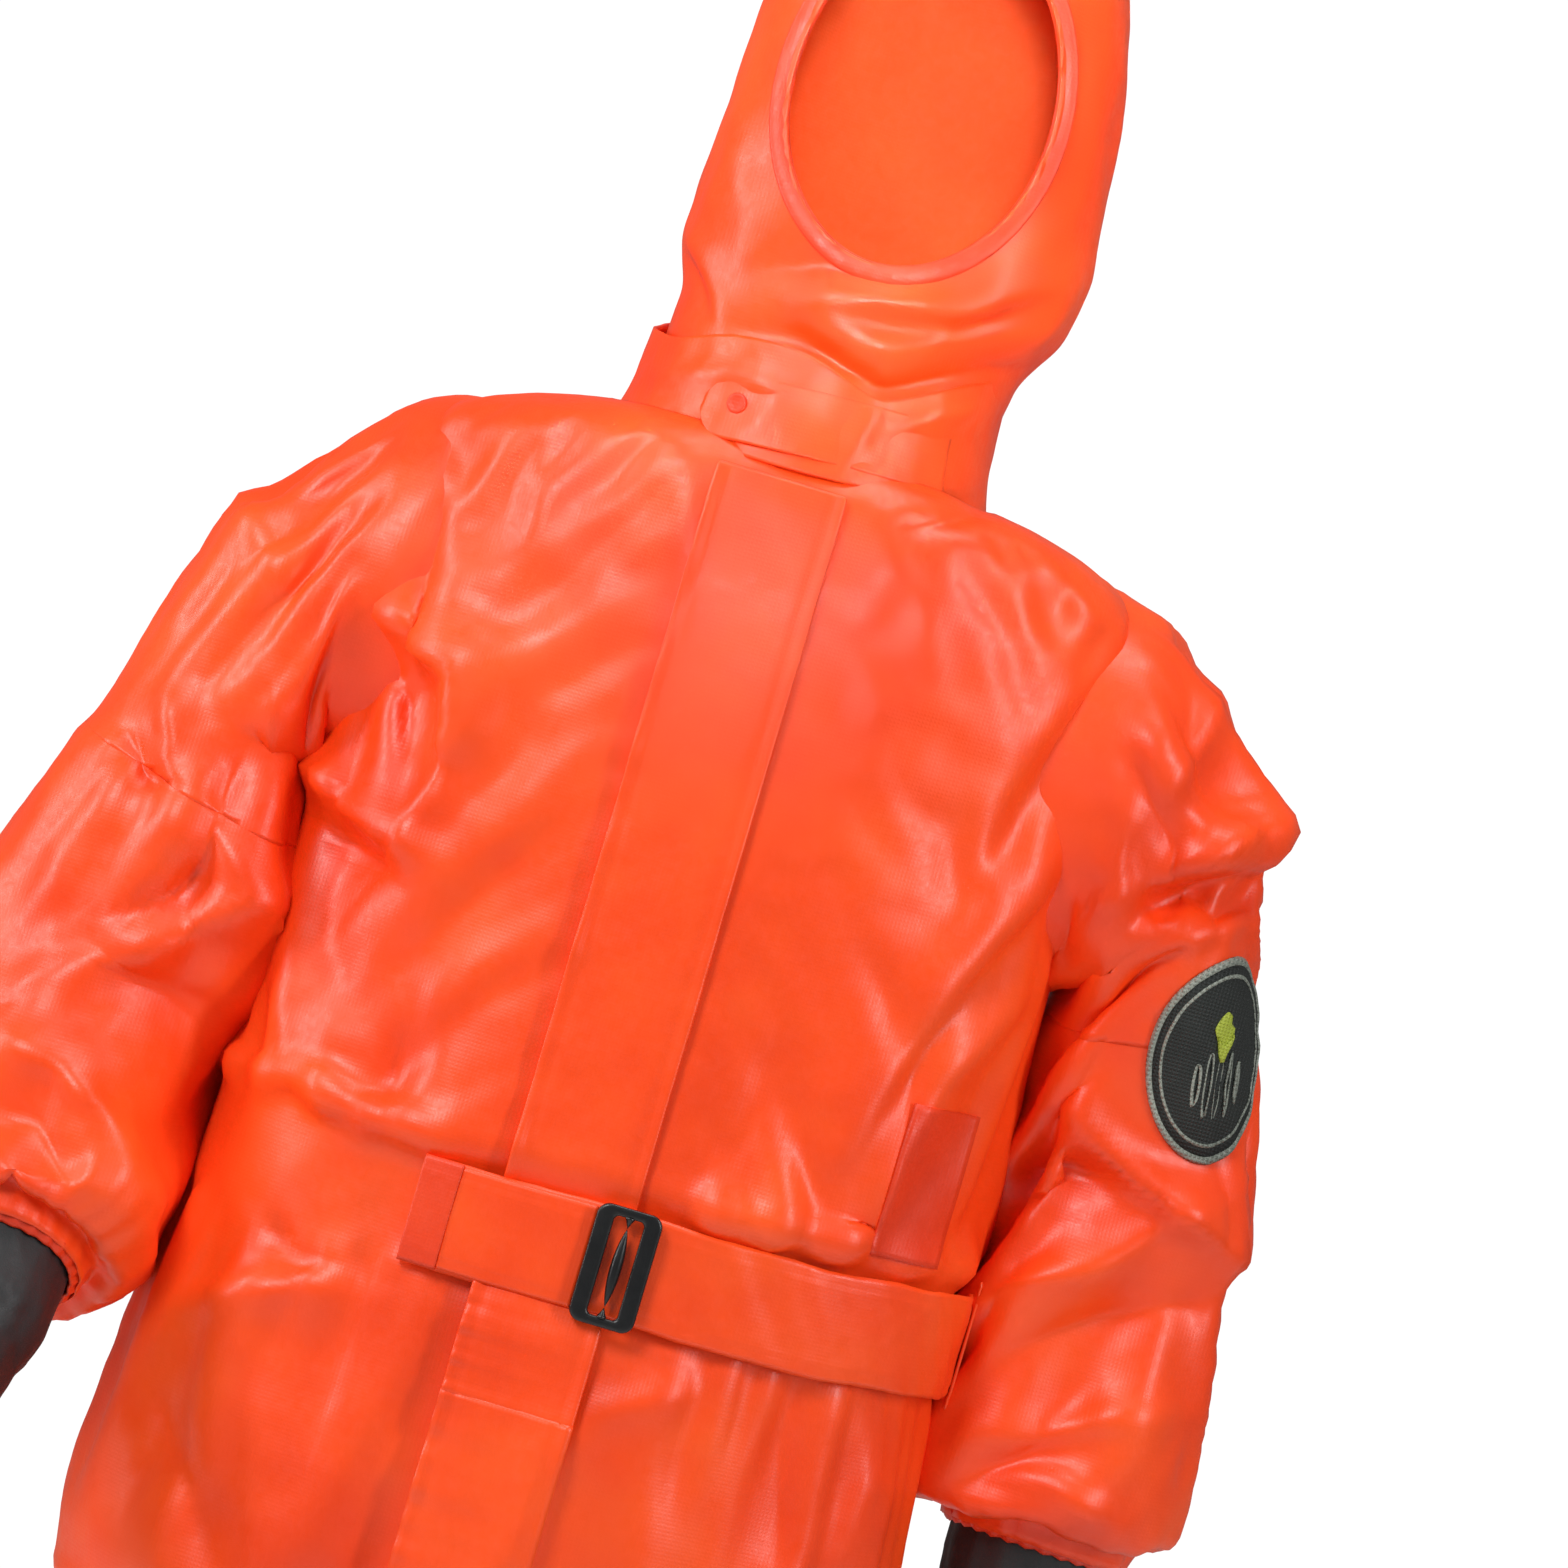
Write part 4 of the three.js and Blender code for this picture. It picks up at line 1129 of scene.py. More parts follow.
@dataclass(frozen=True)
class ArmLine:
    """Where one arm runs, in millimetres: its armhole sections, its line and its widths."""

    side: str
    # each armhole section's outer and inner points in x and z, its y and its half depth
    shoulder: tuple[tuple[tuple[float, float], tuple[float, float], float, float], ...]
    start: tuple[float, float, float]
    elbow: tuple[float, float, float]
    wrist: tuple[float, float, float]
    widths: tuple[float, float, float, float]
    # how far the loose cloth is drawn from the limb at mid upper arm, its end, the elbow and the forearm:
    # x, y and extra half width in millimetres
    sway: tuple[tuple[float, float, float], ...] = ((0, 0, 0),) * 5
    elbow_half: float = 60
    reach_in: float = 30

    def swayed(self, ring: Ring, k: int) -> Ring:
        """A ring as its loose cloth hangs."""
        x, y, wider = self.sway[k]
        across = ring.across * (1 + mm(wider) / np.linalg.norm(ring.across))
        return Ring(ring.middle + mm(x, y, 0), across, ring.front, ring.back, 2.3)

    @property
    def upper(self) -> np.ndarray:
        """The upper arm's direction."""
        return unit(mm(*self.elbow) - mm(*self.start))

    @property
    def fore(self) -> np.ndarray:
        """The forearm's direction."""
        return unit(mm(*self.wrist) - mm(*self.elbow))

    def on_upper(self, far: float, wide: float, deep: float) -> Ring:
        """A ring on the upper arm, some millimetres from its start."""
        return limb_ring(mm(*self.start) + self.upper * mm(far), self.upper, mm(wide), mm(deep))

    def on_fore(self, far: float, wide: float, deep: float) -> Ring:
        """A ring on the forearm, some millimetres from the elbow."""
        return limb_ring(mm(*self.elbow) + self.fore * mm(far), self.fore, mm(wide), mm(deep))

    @property
    def upper_long(self) -> float:
        """The upper sleeve's length in millimetres, down to the loose stretch at the elbow."""
        return float(np.linalg.norm(mm(*self.elbow) - mm(*self.start))) * 1000 - self.elbow_half

    @property
    def fore_long(self) -> float:
        """The forearm's length in millimetres."""
        return float(np.linalg.norm(mm(*self.wrist) - mm(*self.elbow))) * 1000

    def shoulder_rings(self) -> list[Ring]:
        """The armhole's rings, which start just inside the body."""
        rings = []
        for outer, inner, y, deep in self.shoulder:
            top, low = mm(outer[0], y, outer[1]), mm(inner[0], y, inner[1])
            half = (top - low) / 2
            rings.append(Ring((top + low) / 2, half, mm(0, -deep, 0), mm(0, deep, 0)))
        inward = -1 if self.side == "left" else 1
        return [rings[0].moved(mm(inward * self.reach_in, 0, 0)), *rings]

    def rings(self) -> list[Ring]:
        """All the sections of the sleeve from the armhole to the cuff."""
        w0, w1, w2, w3 = self.widths
        long, fore = self.upper_long, self.fore_long
        half = self.elbow_half
        bend = limb_ring(mm(*self.elbow), unit(self.upper + self.fore), mm(w3), mm(78))
        arm = [
            self.on_upper(10, w0, 80),
            self.swayed(self.on_upper(long * 0.5, w1, 79), 0),
            self.swayed(self.on_upper(long, w2, 77), 1),
            self.swayed(bend, 2),
            self.swayed(self.on_fore(half, w3, 78), 3),
            self.swayed(self.on_fore(mix(half, fore, 0.4), w3 + 1, 82), 4),
            self.swayed(self.on_fore(mix(half, fore, 0.75), w3 - 2, 74), 4),
            self.on_fore(fore - 4, 58, 58),
            self.on_fore(fore + 12, 55, 55),
        ]
        turned = [self.facing(r) for r in arm]
        return [*self.shoulder_rings(), *turned]

    def facing(self, ring: Ring) -> Ring:
        """The ring with its first point on the arm's outer side, as the armhole's rings have it."""
        outward = 1 if self.side == "left" else -1
        if ring.across[0] * outward > 0:
            return ring
        return Ring(ring.middle, -ring.across, ring.front, ring.back, ring.power)


RIGHT_ARM = ArmLine(
    "right",
    (
        ((-196, -21), (-208, -252), 5, 95),
        ((-262, -58), (-226, -248), 6, 92),
        ((-312, -112), (-232, -246), 8, 86),
    ),
    (-288, 10, -212), (-328, 25, -385), (-312, -104, -556), (57, 64, 71, 75),
    ((24, -30, 22), (25, -33, 24), (20, -28, 20), (13, -14, 12), (8, -2, 8)),
)
LEFT_ARM = ArmLine(
    "left",
    (
        ((196, -21), (208, -252), 8, 95),
        ((264, -48), (226, -244), 10, 92),
        ((312, -96), (231, -238), 12, 86),
    ),
    (283, 16, -194), (317, 58, -385), (310, 42, -557), (51, 58, 66, 67),
    ((-11, 3, 11), (-19, 6, 18), (-22, 6, 20), (-21, 6, 20), (-16, 4, 16)),
)

RIGHT_SLEEVE_FOLDS = (
    Crease(((-253, -215), (-244, -262), (-241, -305)), 10, 15, 15),
    Crease(((-312, -228), (-298, -280), (-292, -300)), 10, 18, 12),
    Crease(((-330, -262), (-310, -282), (-285, -290)), -13, 15, 15),
    Crease(((-285, -286), (-230, -334), (-298, -388), (-330, -415)), 13, 15, 28),
    Crease(((-262, -322), (-275, -345), (-310, -372)), -11, 15, 12),
    Crease(((-349, -455), (-311, -464), (-252, -512)), 11, 22, 11),
    Crease(((-352, -500), (-315, -490), (-280, -530)), -8, 15, 15),
    Crease(((-312, -100), (-287, -134), (-262, -158)), 8, 15, 20),
    Crease(((-236, -60), (-262, -96), (-290, -120)), -6, 15, 15),
)
LEFT_SLEEVE_FOLDS = (
    Crease(((335, -118), (298, -146), (255, -180)), 14, 25, 11),
    Crease(((330, -152), (298, -168), (262, -196)), -13, 11, 15),
    Crease(((223, -52), (240, -95), (248, -137)), 7, 15, 15),
    Crease(((270, -60), (262, -100), (254, -131)), 7, 12, 12),
    Crease(((246, -212), (262, -262), (250, -310)), 8, 15, 15),
    Crease(((270, -330), (330, -356), (384, -384)), 14, 25, 10),
    Crease(((236, -366), (262, -352), (294, -350)), -13, 11, 15),
    Crease(((226, -447), (292, -398), (338, -350)), 11, 12, 22),
    Crease(((256, -470), (305, -430), (362, -404)), -8, 15, 15),
    Crease(((258, -512), (305, -496), (356, -470)), 10, 15, 20),
    Crease(((268, -536), (310, -530), (346, -540)), 7, 10, 12),
)


@dataclass
class Sleeve:
    """One sleeve from the armhole to the gathered cuff."""

    arm: ArmLine
    folds: tuple[Crease, ...]
    rows: int = 66
    columns: int = 56
    # how far down the upper arm the cloth is parted, in millimetres
    split: float = 60
    drape: Drape = Drape(slack=0.10, tension=16, bending=2.2, furthest=0.026)
    # the arm inside as a share of the sleeve, and the shares of its length that are held at its two ends
    arm_inside: float = 0.74
    held_ends: tuple[float, float] = (0.11, 0.05)
    # the crinkles' size and height
    crinkles: tuple[float, float] = (0.06, 0.0026)
    badge_down: Optional[float] = None

    def calm(self, at: np.ndarray) -> np.ndarray:
        """1 where the badge stiffens the cloth, and 0 away from it."""
        if self.badge_down is None:
            return np.zeros(len(at))
        ring = self.arm.on_upper(self.badge_down, *BADGE_ARM)
        turn = math.radians(BADGE_TURN)
        middle = ring.middle + ring.across * math.cos(turn) + ring.front * math.sin(turn)
        return 1 - smooth(np.linalg.norm(at - middle, axis=1), 0.055, 0.085)

    def build(self, palette: Palette) -> None:
        """Makes the sleeve, parts it at the middle of the upper arm, and joins it to its bodies."""
        arm = self.arm
        side = arm.side
        limb = Limb(side, arm.rings(), self.rows, self.columns, self.drape, self.arm_inside,
                    folds=self.folds, calm=self.calm)
        cloth = limb.tube(f"{side}_sleeve", *self.held_ends)
        crinkle(cloth, *self.crinkles, 21.0 if side == "left" else 27.0, lambda p: 1 - self.calm(p))
        cut = float(arm.upper @ mm(*arm.start)) + mm(self.split)
        upper, lower = parted(cloth, f"{side}_sleeve_upper", f"{side}_sleeve_lower", arm.upper, cut)
        for piece in (upper, lower):
            thicken(piece, mm(LIMB_CLOTH))
            palette.dress(piece, palette.cloth)
        shoulder = arm.shoulder_rings()
        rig.blend(upper, "torso", f"{side}_upper_arm", start=tuple(shoulder[1].middle),
                 end=tuple(mm(*arm.start)))
        elbow = mm(*arm.elbow)
        half = mm(arm.elbow_half)
        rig.blend(lower, f"{side}_upper_arm", f"{side}_forearm", start=tuple(elbow - arm.upper * half),
                 end=tuple(elbow + arm.fore * half))
        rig.replaces(upper, f"{side}_shoulder_section", f"{side}_upper_sleeve")
        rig.replaces(lower, f"{side}_elbow_section", f"{side}_forearm_sleeve")


@dataclass
class Trouser:
    """One leg of the suit, from inside the body's lobe to the hem over the boot."""

    side: str
    # z, x of the middle, half width, depth, in millimetres
    sections: tuple[tuple[float, float, float, float], ...] = (
        (-700, 114, 100, 118),
        (-740, 116, 106, 120),
        (-800, 116, 107, 116),
        (-870, 117, 102, 110),
        (-935, 119, 98, 104),
        (-1000, 120, 94, 100),
        (-1065, 121, 90, 96),
        (-1180, 124, 86, 90),
        (-1255, 125, 82, 86),
        (-1290, 125, 73, 77),
        (-1298, 125, 69, 73),
    )
    y: float = 5
    rows: int = 84
    columns: int = 60
    # heights of the cut at mid thigh and of the stretches that bend at the hip and the knee
    split: float = -870
    hip: tuple[float, float] = (-735, -810)
    knee: tuple[float, float] = (-935, -1065)
    middle_x: float = 116
    drape: Drape = Drape(slack=0.08, frames=24, tension=16, bending=3, furthest=0.020)
    # the leg inside as a share of the trouser, and the shares of its length that are held at its two ends
    leg_inside: float = 0.78
    held_ends: tuple[float, float] = (0.10, 0.04)
    # the crinkles' size and height
    crinkles: tuple[float, float] = (0.07, 0.0032)

    def folds(self, sign: int) -> tuple[Crease, ...]:
        """The folds at the groin, the knee and above the hem."""
        def line(*points: tuple[float, float]) -> tuple[tuple[float, float], ...]:
            """The points on this leg's side."""
            return tuple((sign * x, z) for x, z in points)

        return (
            Crease(line((40, -760), (90, -790), (160, -800)), 7, 16, 14),
            Crease(line((30, -800), (80, -850), (150, -880)), -6, 16, 16),
            Crease(line((50, -960), (110, -990), (180, -975)), 8, 14, 14),
            Crease(line((55, -1020), (120, -1010), (190, -1035)), -7, 12, 12),
            Crease(line((60, -1060), (120, -1075), (185, -1055)), 7, 14, 10),
            Crease(line((70, -1150), (100, -1190), (170, -1200)), 6, 14, 14),
            Crease(line((60, -1222), (120, -1238), (185, -1220)), 9, 16, 8),
            Crease(line((70, -1262), (120, -1270), (180, -1258)), 6, 10, 8),
            Crease(line((60, -990), (120, -1005), (180, -985)), 8, 14, 14, back=True),
            Crease(line((60, -1050), (120, -1040), (185, -1060)), 7, 12, 12, back=True),
            Crease(line((50, -780), (110, -820), (170, -850)), 7, 18, 14, back=True),
            Crease(line((60, -1225), (120, -1236), (185, -1220)), 8, 14, 8, back=True),
        )

    def build(self, palette: Palette) -> None:
        """Makes the leg, parts it at mid thigh, and joins it to its bodies."""
        sign = 1 if self.side == "left" else -1
        rings = [level_ring(mm(z), mm(w), mm(d), mm(d), x=sign * mm(x), y=mm(self.y))
                 for z, x, w, d in self.sections]
        limb = Limb(self.side, rings, self.rows, self.columns,
                    self.drape, self.leg_inside, folds=self.folds(sign))
        cloth = limb.tube(f"{self.side}_leg", *self.held_ends)
        crinkle(cloth, *self.crinkles, 33.0 + sign)
        down = np.array((0.0, 0.0, -1.0))
        upper, lower = parted(cloth, f"{self.side}_leg_upper", f"{self.side}_leg_lower", down,
                              mm(-self.split))
        for piece in (upper, lower):
            thicken(piece, mm(LIMB_CLOTH))
            palette.dress(piece, palette.cloth)
        x = sign * mm(self.middle_x)
        hip, knee = ([(x, 0, mm(z)) for z in span] for span in (self.hip, self.knee))
        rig.blend(upper, "torso", f"{self.side}_thigh", start=hip[0], end=hip[1])
        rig.blend(lower, f"{self.side}_thigh", f"{self.side}_shin", start=knee[0], end=knee[1])
        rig.replaces(upper, f"{self.side}_hip_section", f"{self.side}_thigh_leg")
        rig.replaces(lower, f"{self.side}_knee_section", f"{self.side}_shin_leg")


# ------------------------------------------------------------------ what cloth carries


class Skin:
    """The draped cloth as something that other pieces can be laid on."""

    def __init__(self, *pieces: Object) -> None:
        """Takes the shape of some pieces as they are now."""
        self.trees = [BVHTree.FromObject(p, bpy.context.evaluated_depsgraph_get()) for p in pieces]

    def hit(self, start: np.ndarray, way: np.ndarray) -> Optional[np.ndarray]:
        """The first point of the cloth from a start, along a way."""
        found = [tree.ray_cast(Vector(start), Vector(way)) for tree in self.trees]
        found = [f for f in found if f[0] is not None]
        return np.array(min(found, key=lambda f: f[3])[0]) if found else None

    def front(self, x: float, z: float) -> np.ndarray:
        """The front of the cloth at x and z, in millimetres."""
        found = self.hit(mm(x, -600, z), -AHEAD)
        return found if found is not None else mm(x, -110, z)

    def patch(self, name: str, x: tuple[float, float], z: tuple[float, float], off: float, thick: float,
              steps: tuple[int, int], lift: Callable[[float, float], float] = lambda u, v: 0.0) -> Object:
        """A sheet laid on the front of the cloth.

        Args:
            name: The piece's name.
            x: Its two edges, in millimetres.
            z: Its top and its bottom, in millimetres.
            off: How far its outer face is off the cloth, in millimetres.
            thick: Its thickness, in millimetres.
            steps: How many points across and down.
            lift: How much further off it is, by its share across and down.

        Returns:
            The new object.
        """
        shares_x, shares_z = np.linspace(0, 1, steps[0]), np.linspace(0, 1, steps[1])
        grid = np.array([[self.front(mix(*x, u), mix(*z, v)) for u in shares_x] for v in shares_z])
        soft = grid[..., 1].copy()
        for _ in range(3):
            padded = np.pad(soft, ((1, 1), (1, 1)), mode="edge")
            soft = (padded[:-2, 1:-1] + padded[2:, 1:-1] + padded[1:-1, :-2] + padded[1:-1, 2:] + soft) / 5
        ahead = np.minimum(soft, grid[..., 1] + mm(0.5))
        rise = np.array([[lift(u, v) for u in shares_x] for v in shares_z])
        grid[..., 1] = ahead - mm(off) - rise / 1000
        sheet = grid_mesh(name, grid, wrap=False)
        front_out(sheet)
        return thicken(sheet, mm(thick))


def front_out(sheet: Object) -> None:
    """Turns an open sheet's faces to the front."""
    if corner_normals(sheet)[:, 1].mean() > 0:
        sheet.data.flip_normals()


# ------------------------------------------------------------------ hood and collar


@dataclass
class Hood:
    """The attached hood: a high, soft shell that the wearer's head fills, with an oval face opening."""

    # z, middle x, half width, front and back, in millimetres
    sections: tuple[tuple[float, float, float, float, float], ...] = (
        (22, 2, 94, 99, 98),
        (40, 3, 97, 105, 102),
        (58, 4, 98, 106, 105),
        (74, 6, 99, 104, 107),
        (88, 8, 104, 104, 111),
        (104, 11, 110, 106, 117),
        (125, 13, 113, 111, 123),
        (150, 14, 114, 112, 128),
        (175, 14, 112, 113, 131),
        (235, 13, 108, 113, 135),
        (290, 11, 98, 106, 127),
        (335, 9, 80, 88, 104),
        (362, 7, 54, 60, 70),
        (375, 6, 30, 34, 40),
        (380, 6, 6, 7, 9),
    )
    power: float = 2.15
    rows: int = 88
    columns: int = 112
    face_x: float = 9
    face_z: float = 208
    face_wide: float = 75
    face_tall: float = 100
    hem: float = 12
    # the heights between which the neck bends
    neck: tuple[float, float] = (70, 94)
    crown_half: float = 19
    folds: tuple[Crease, ...] = (
        Crease(((-98, 108), (-86, 92), (-70, 66)), 8, 8, 6),
        Crease(((-92, 96), (-82, 82), (-74, 66)), -8, 4, 5),
        Crease(((-60, 62), (-20, 66), (34, 50), (101, 86)), -9, 8, 10),
        Crease(((-24, 84), (11, 98), (63, 109), (104, 132)), 10, 16, 9),
        Crease(((-14, 78), (30, 74), (90, 104)), 5, 7, 8),
        Crease(((-60, 96), (-20, 112), (30, 112)), -4, 7, 8),
        Crease(((60, 96), (84, 112), (98, 124)), -5, 5, 5),
        Crease(((92, 92), (112, 118), (120, 150)), 5, 10, 12),
        Crease(((-96, 120), (-88, 150), (-92, 180)), 4, 10, 10),
        Crease(((104, 190), (98, 240), (84, 290)), -3, 10, 10),
        Crease(((-90, 250), (-78, 290), (-60, 320)), 3, 12, 12),
        Crease(((-60, 110), (0, 150), (60, 120)), -5, 16, 16, back=True),
        Crease(((-90, 90), (0, 96), (100, 92)), 6, 10, 10, back=True),
        Crease(((-70, 140), (0, 190), (80, 150)), 4, 16, 20, back=True),
    )

    def rings(self) -> list[Ring]:
        """The hood's sections as rings."""
        return [
            level_ring(mm(z), mm(w), mm(f), mm(b), x=mm(x), power=self.power)
            for z, x, w, f, b in self.sections
        ]

    def oval(self, at: np.ndarray) -> np.ndarray:
        """Less than 1 inside the face opening, as a share of its size, and far more than 1 at the back."""
        across = (at[:, 0] - mm(self.face_x)) / mm(self.face_wide)
        up = (at[:, 2] - mm(self.face_z)) / mm(self.face_tall)
        return np.where(at[:, 1] < 0, np.hypot(across, up), OUTSIDE)

    def build(self, palette: Palette) -> None:
        """Makes the hood, its face hem, its crown tape and the soft neck inside the collar."""
        shell = grid_mesh("suit_hood", swept(self.rings(), self.rows, self.columns))
        press(shell, self.folds)
        crinkle(shell, 0.06, mm(3.2), 41.0, lambda p: 0.2 + 0.8 * smooth(self.oval(p), 1.05, 1.4))
        without(shell, lambda p: float(self.oval(p[None])[0]) < 1.0)
        self.snap_edge(shell)
        coarse = Skin(shell)
        shaped(shell, "SUBSURF", levels=1, render_levels=1)
        thicken(shell, mm(HOOD_CLOTH), inside_material=1)
        low, high = self.neck
        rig.blend(shell, "torso", "hood", start=(0, 0, mm(low)), end=(0, 0, mm(high)))
        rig.replaces(shell, "hood_left_panel", "hood_right_panel", "neck_skirt")
        # the hood's inside takes the paler lining finish: painted light in the shaded hollow of the hood
        palette.dress(shell, palette.cloth, inside=palette.inside)
        self.build_hem(coarse, palette)
        self.build_crown(shell, palette)

    def snap_edge(self, shell: Object) -> None:
        """Moves the cut edge onto a clean oval."""
        shape = bmesh.new()
        shape.from_mesh(shell.data)
        for vert in shape.verts:
            if not vert.is_boundary or vert.co.y > 0 or vert.co.z < mm(100) or vert.co.z > mm(320):
                continue
            turn = math.atan2((vert.co.z - mm(self.face_z)) / mm(self.face_tall),
                              (vert.co.x - mm(self.face_x)) / mm(self.face_wide))
            vert.co.x = mm(self.face_x) + mm(self.face_wide) * math.cos(turn)
            vert.co.z = mm(self.face_z) + mm(self.face_tall) * math.sin(turn)
        shape.to_mesh(shell.data)
        shape.free()

    def build_hem(self, cloth: Skin, palette: Palette) -> None:
        """The elastic hem of the face opening: a soft roll, gathered a little. Its deeper two-layer colour is painted
        shade along the opening's rim.

        Args:
            cloth: The hood's cloth, which the hem lies on.
            palette: The finishes.
        """
        turns = np.arange(180) * math.tau / 180
        path = []
        for turn in turns:
            x = mm(self.face_x) + mm(self.face_wide + 5) * math.cos(turn)
            z = mm(self.face_z) + mm(self.face_tall + 5) * math.sin(turn)
            found = cloth.hit(np.array((x, -1.0, z)), -AHEAD)
            path.append(found if found is not None and found[1] < 0 else path[-1])
        path = np.array(path)
        path[:, 1] = sum(np.roll(path[:, 1], s) for s in range(-4, 5)) / 9
        around = np.arange(14) * math.tau / 14
        rows = []
        for turn, place in zip(turns, path):
            out = unit(np.array((math.cos(turn) * self.face_tall, 0, math.sin(turn) * self.face_wide)))
            pucker = 1 + 0.10 * math.sin(turn * 46 + 2 * math.sin(turn * 5))
            rows.append([place + out * mm(6.0 * math.cos(a) - 1.0) + AHEAD * mm(2.2) * math.sin(a) * pucker
                         for a in around])
        rows.append(rows[0])
        hem = grid_mesh("suit_face_hem", np.array(rows))
        shaped(hem, "WELD", merge_threshold=1e-5)
        face_out(hem)
        shaped(hem, "SUBSURF", levels=1, render_levels=1)
        # the deeper finish paints shade along the rim of the face opening
        palette.fit(hem, "hood", ("face_seal",), palette.doubled_and_shaded)

    def build_crown(self, shell: Object, palette: Palette) -> None:
        """The taped seam that runs from the brow over the crown to the nape.

        Args:
            shell: The hood, which the tape lies on.
            palette: The finishes.
        """
        cloth = Skin(shell)
        middle = mm(11, 15, 225)
        brow = mm(self.face_z + self.face_tall + self.hem)
        rows = []
        for turn in np.radians(np.linspace(38, 216, 120)):
            way = np.array((0, -math.cos(turn), math.sin(turn)))
            offsets = np.linspace(-self.crown_half, self.crown_half, 11)
            found = [cloth.hit(middle + mm(x, 0, 0) + way * 0.5, -way) for x in offsets]
            if any(place is None for place in found):
                continue
            rise = mm(1.1) * (1 - (np.abs(offsets) / self.crown_half) ** 6) + mm(0.25)
            row = [place + way * off for place, off in zip(found, rise)]
            if turn > math.pi / 2 or row[len(row) // 2][2] > brow:
                rows.append(row)
        tape = grid_mesh("suit_crown_tape", np.array(rows), wrap=False)
        palette.fit(tape, "hood", ("hood_crown_strip",), palette.doubled_and_shaded)


@dataclass
class Collar:
    """The stand collar round the hood's neck, its V at the front, and its closing tab with a snap."""

    wide: float = 104
    deep: float = 112
    y: float = -2
    # turn from the front towards the wearer's left in degrees, and height of the top edge
    top_edge: tuple[tuple[float, float], ...] = (
        (-180, 66), (-120, 60), (-90, 48), (-58, 41), (-30, 50), (-10, 51), (6, 43), (16, 36), (21, 36),
        (30, 45), (50, 62), (72, 73), (95, 75), (130, 70), (180, 66),
    )
    rows: int = 16
    columns: int = 150
    # the tab's free and sewn ends in x, its height and half height, its end's radius, and the snap's x
    tab: tuple[float, float] = (-58, 77)
    tab_z: float = 12
    tab_half: float = 19
    tab_round: float = 16
    snap_x: float = -40

    def radius(self, z: float) -> float:
        """How much wider the collar is at a height, in millimetres: it flares out to the shoulders."""
        return 7 * max(0.0, 1 - (z + 8) / 30) ** 1.4 - 3 * max(0.0, z - 22) / 44

    def point(self, turn: float, z: float, off: float = 0.0) -> np.ndarray:
        """A point of the collar by its turn from the front in radians and its height in millimetres."""
        grow = self.radius(z) + off
        return mm((self.wide + grow) * math.sin(turn), self.y - (self.deep + grow) * math.cos(turn), z)

    @staticmethod
    def low_edge(turn: float) -> float:
        """The height of the collar's lower edge, in millimetres: it dips over the breast."""
        return -7 - 9 * max(0.0, math.cos(turn)) ** 2 + 2.5 * math.sin(turn)

    def build(self, palette: Palette) -> None:
        """Makes the collar band, its tab and its snap."""
        turns = np.linspace(-math.pi, math.pi, self.columns, endpoint=False)
        knots = np.array(self.top_edge, float)
        tops = np.interp(np.degrees(turns), knots[:, 0], knots[:, 1])
        soft = sum(np.roll(tops, s) for s in (-2, -1, 0, 1, 2)) / 5
        grid = [
            [self.point(t, mix(self.low_edge(t), top, v)) for t, top in zip(turns, soft)]
            for v in np.linspace(0, 1, self.rows)
        ]
        band = grid_mesh("suit_collar", np.array(grid))
        press(band, (
            Crease(((-90, 22), (-50, 34), (-10, 30)), 4, 10, 8),
            Crease(((-66, 4), (-54, -2), (-42, -8)), -6, 4, 6),
            Crease(((34, 40), (28, 20), (24, 0)), 3, 6, 10),
            Crease(((46, 30), (70, 48), (100, 62)), 4, 8, 8),
            Crease(((62, -6), (84, -4), (104, 8)), -4, 5, 6),
        ))
        crinkle(band, 0.045, mm(2.6), 51.0)
        shaped(band, "SUBSURF", levels=1, render_levels=1)
        thicken(band, mm(2.4))
        palette.fit(band, "torso", ("collar_band",), palette.cloth)
        self.build_tab(palette)

    def tab_point(self, u: float, v: float) -> np.ndarray:
        """A point of the tab, by its shares along from the free end and up from the middle."""
        free, sewn = self.tab
        x = mix(free, sewn, u)
        short = max(0.0, self.tab_round - (x - free)) / self.tab_round
        tall = self.tab_half * max(0.25, math.sqrt(max(0.0, 1 - short**2)))
        z = self.tab_z + mix(-3, 4, u) + v * tall
        bow = 0.9 * math.sin(u * 7) * (1 - v * v)
        return self.point(math.asin(x / self.wide), z, mix(3.4, 1.6, u) + bow)

    def build_tab(self, palette: Palette) -> None:
        """The tab across the front of the collar: its free end is rounded, and a snap holds it."""
        grid = [[self.tab_point(u, v) for u in np.linspace(0, 1, 40)] for v in np.linspace(-1, 1, 14)]
        tab = grid_mesh("suit_collar_tab", np.array(grid), wrap=False)
        crinkle(tab, 0.03, mm(1.2), 57.0)
        shaped(tab, "SUBSURF", levels=1, render_levels=1)
        thicken(tab, mm(2.0))
        palette.fit(tab, "collar_tab", ("collar_tab",), palette.cloth)
        turn = math.asin(self.snap_x / self.wide)
        place = self.point(turn, self.tab_z, 4.4)
        out = np.array((math.sin(turn), -math.cos(turn), 0))
        snap = round_button("suit_collar_snap", place, out, mm(6), mm(1.8))
        palette.fit(snap, "collar_tab", ("collar_snap",), palette.doubled_and_shaded)


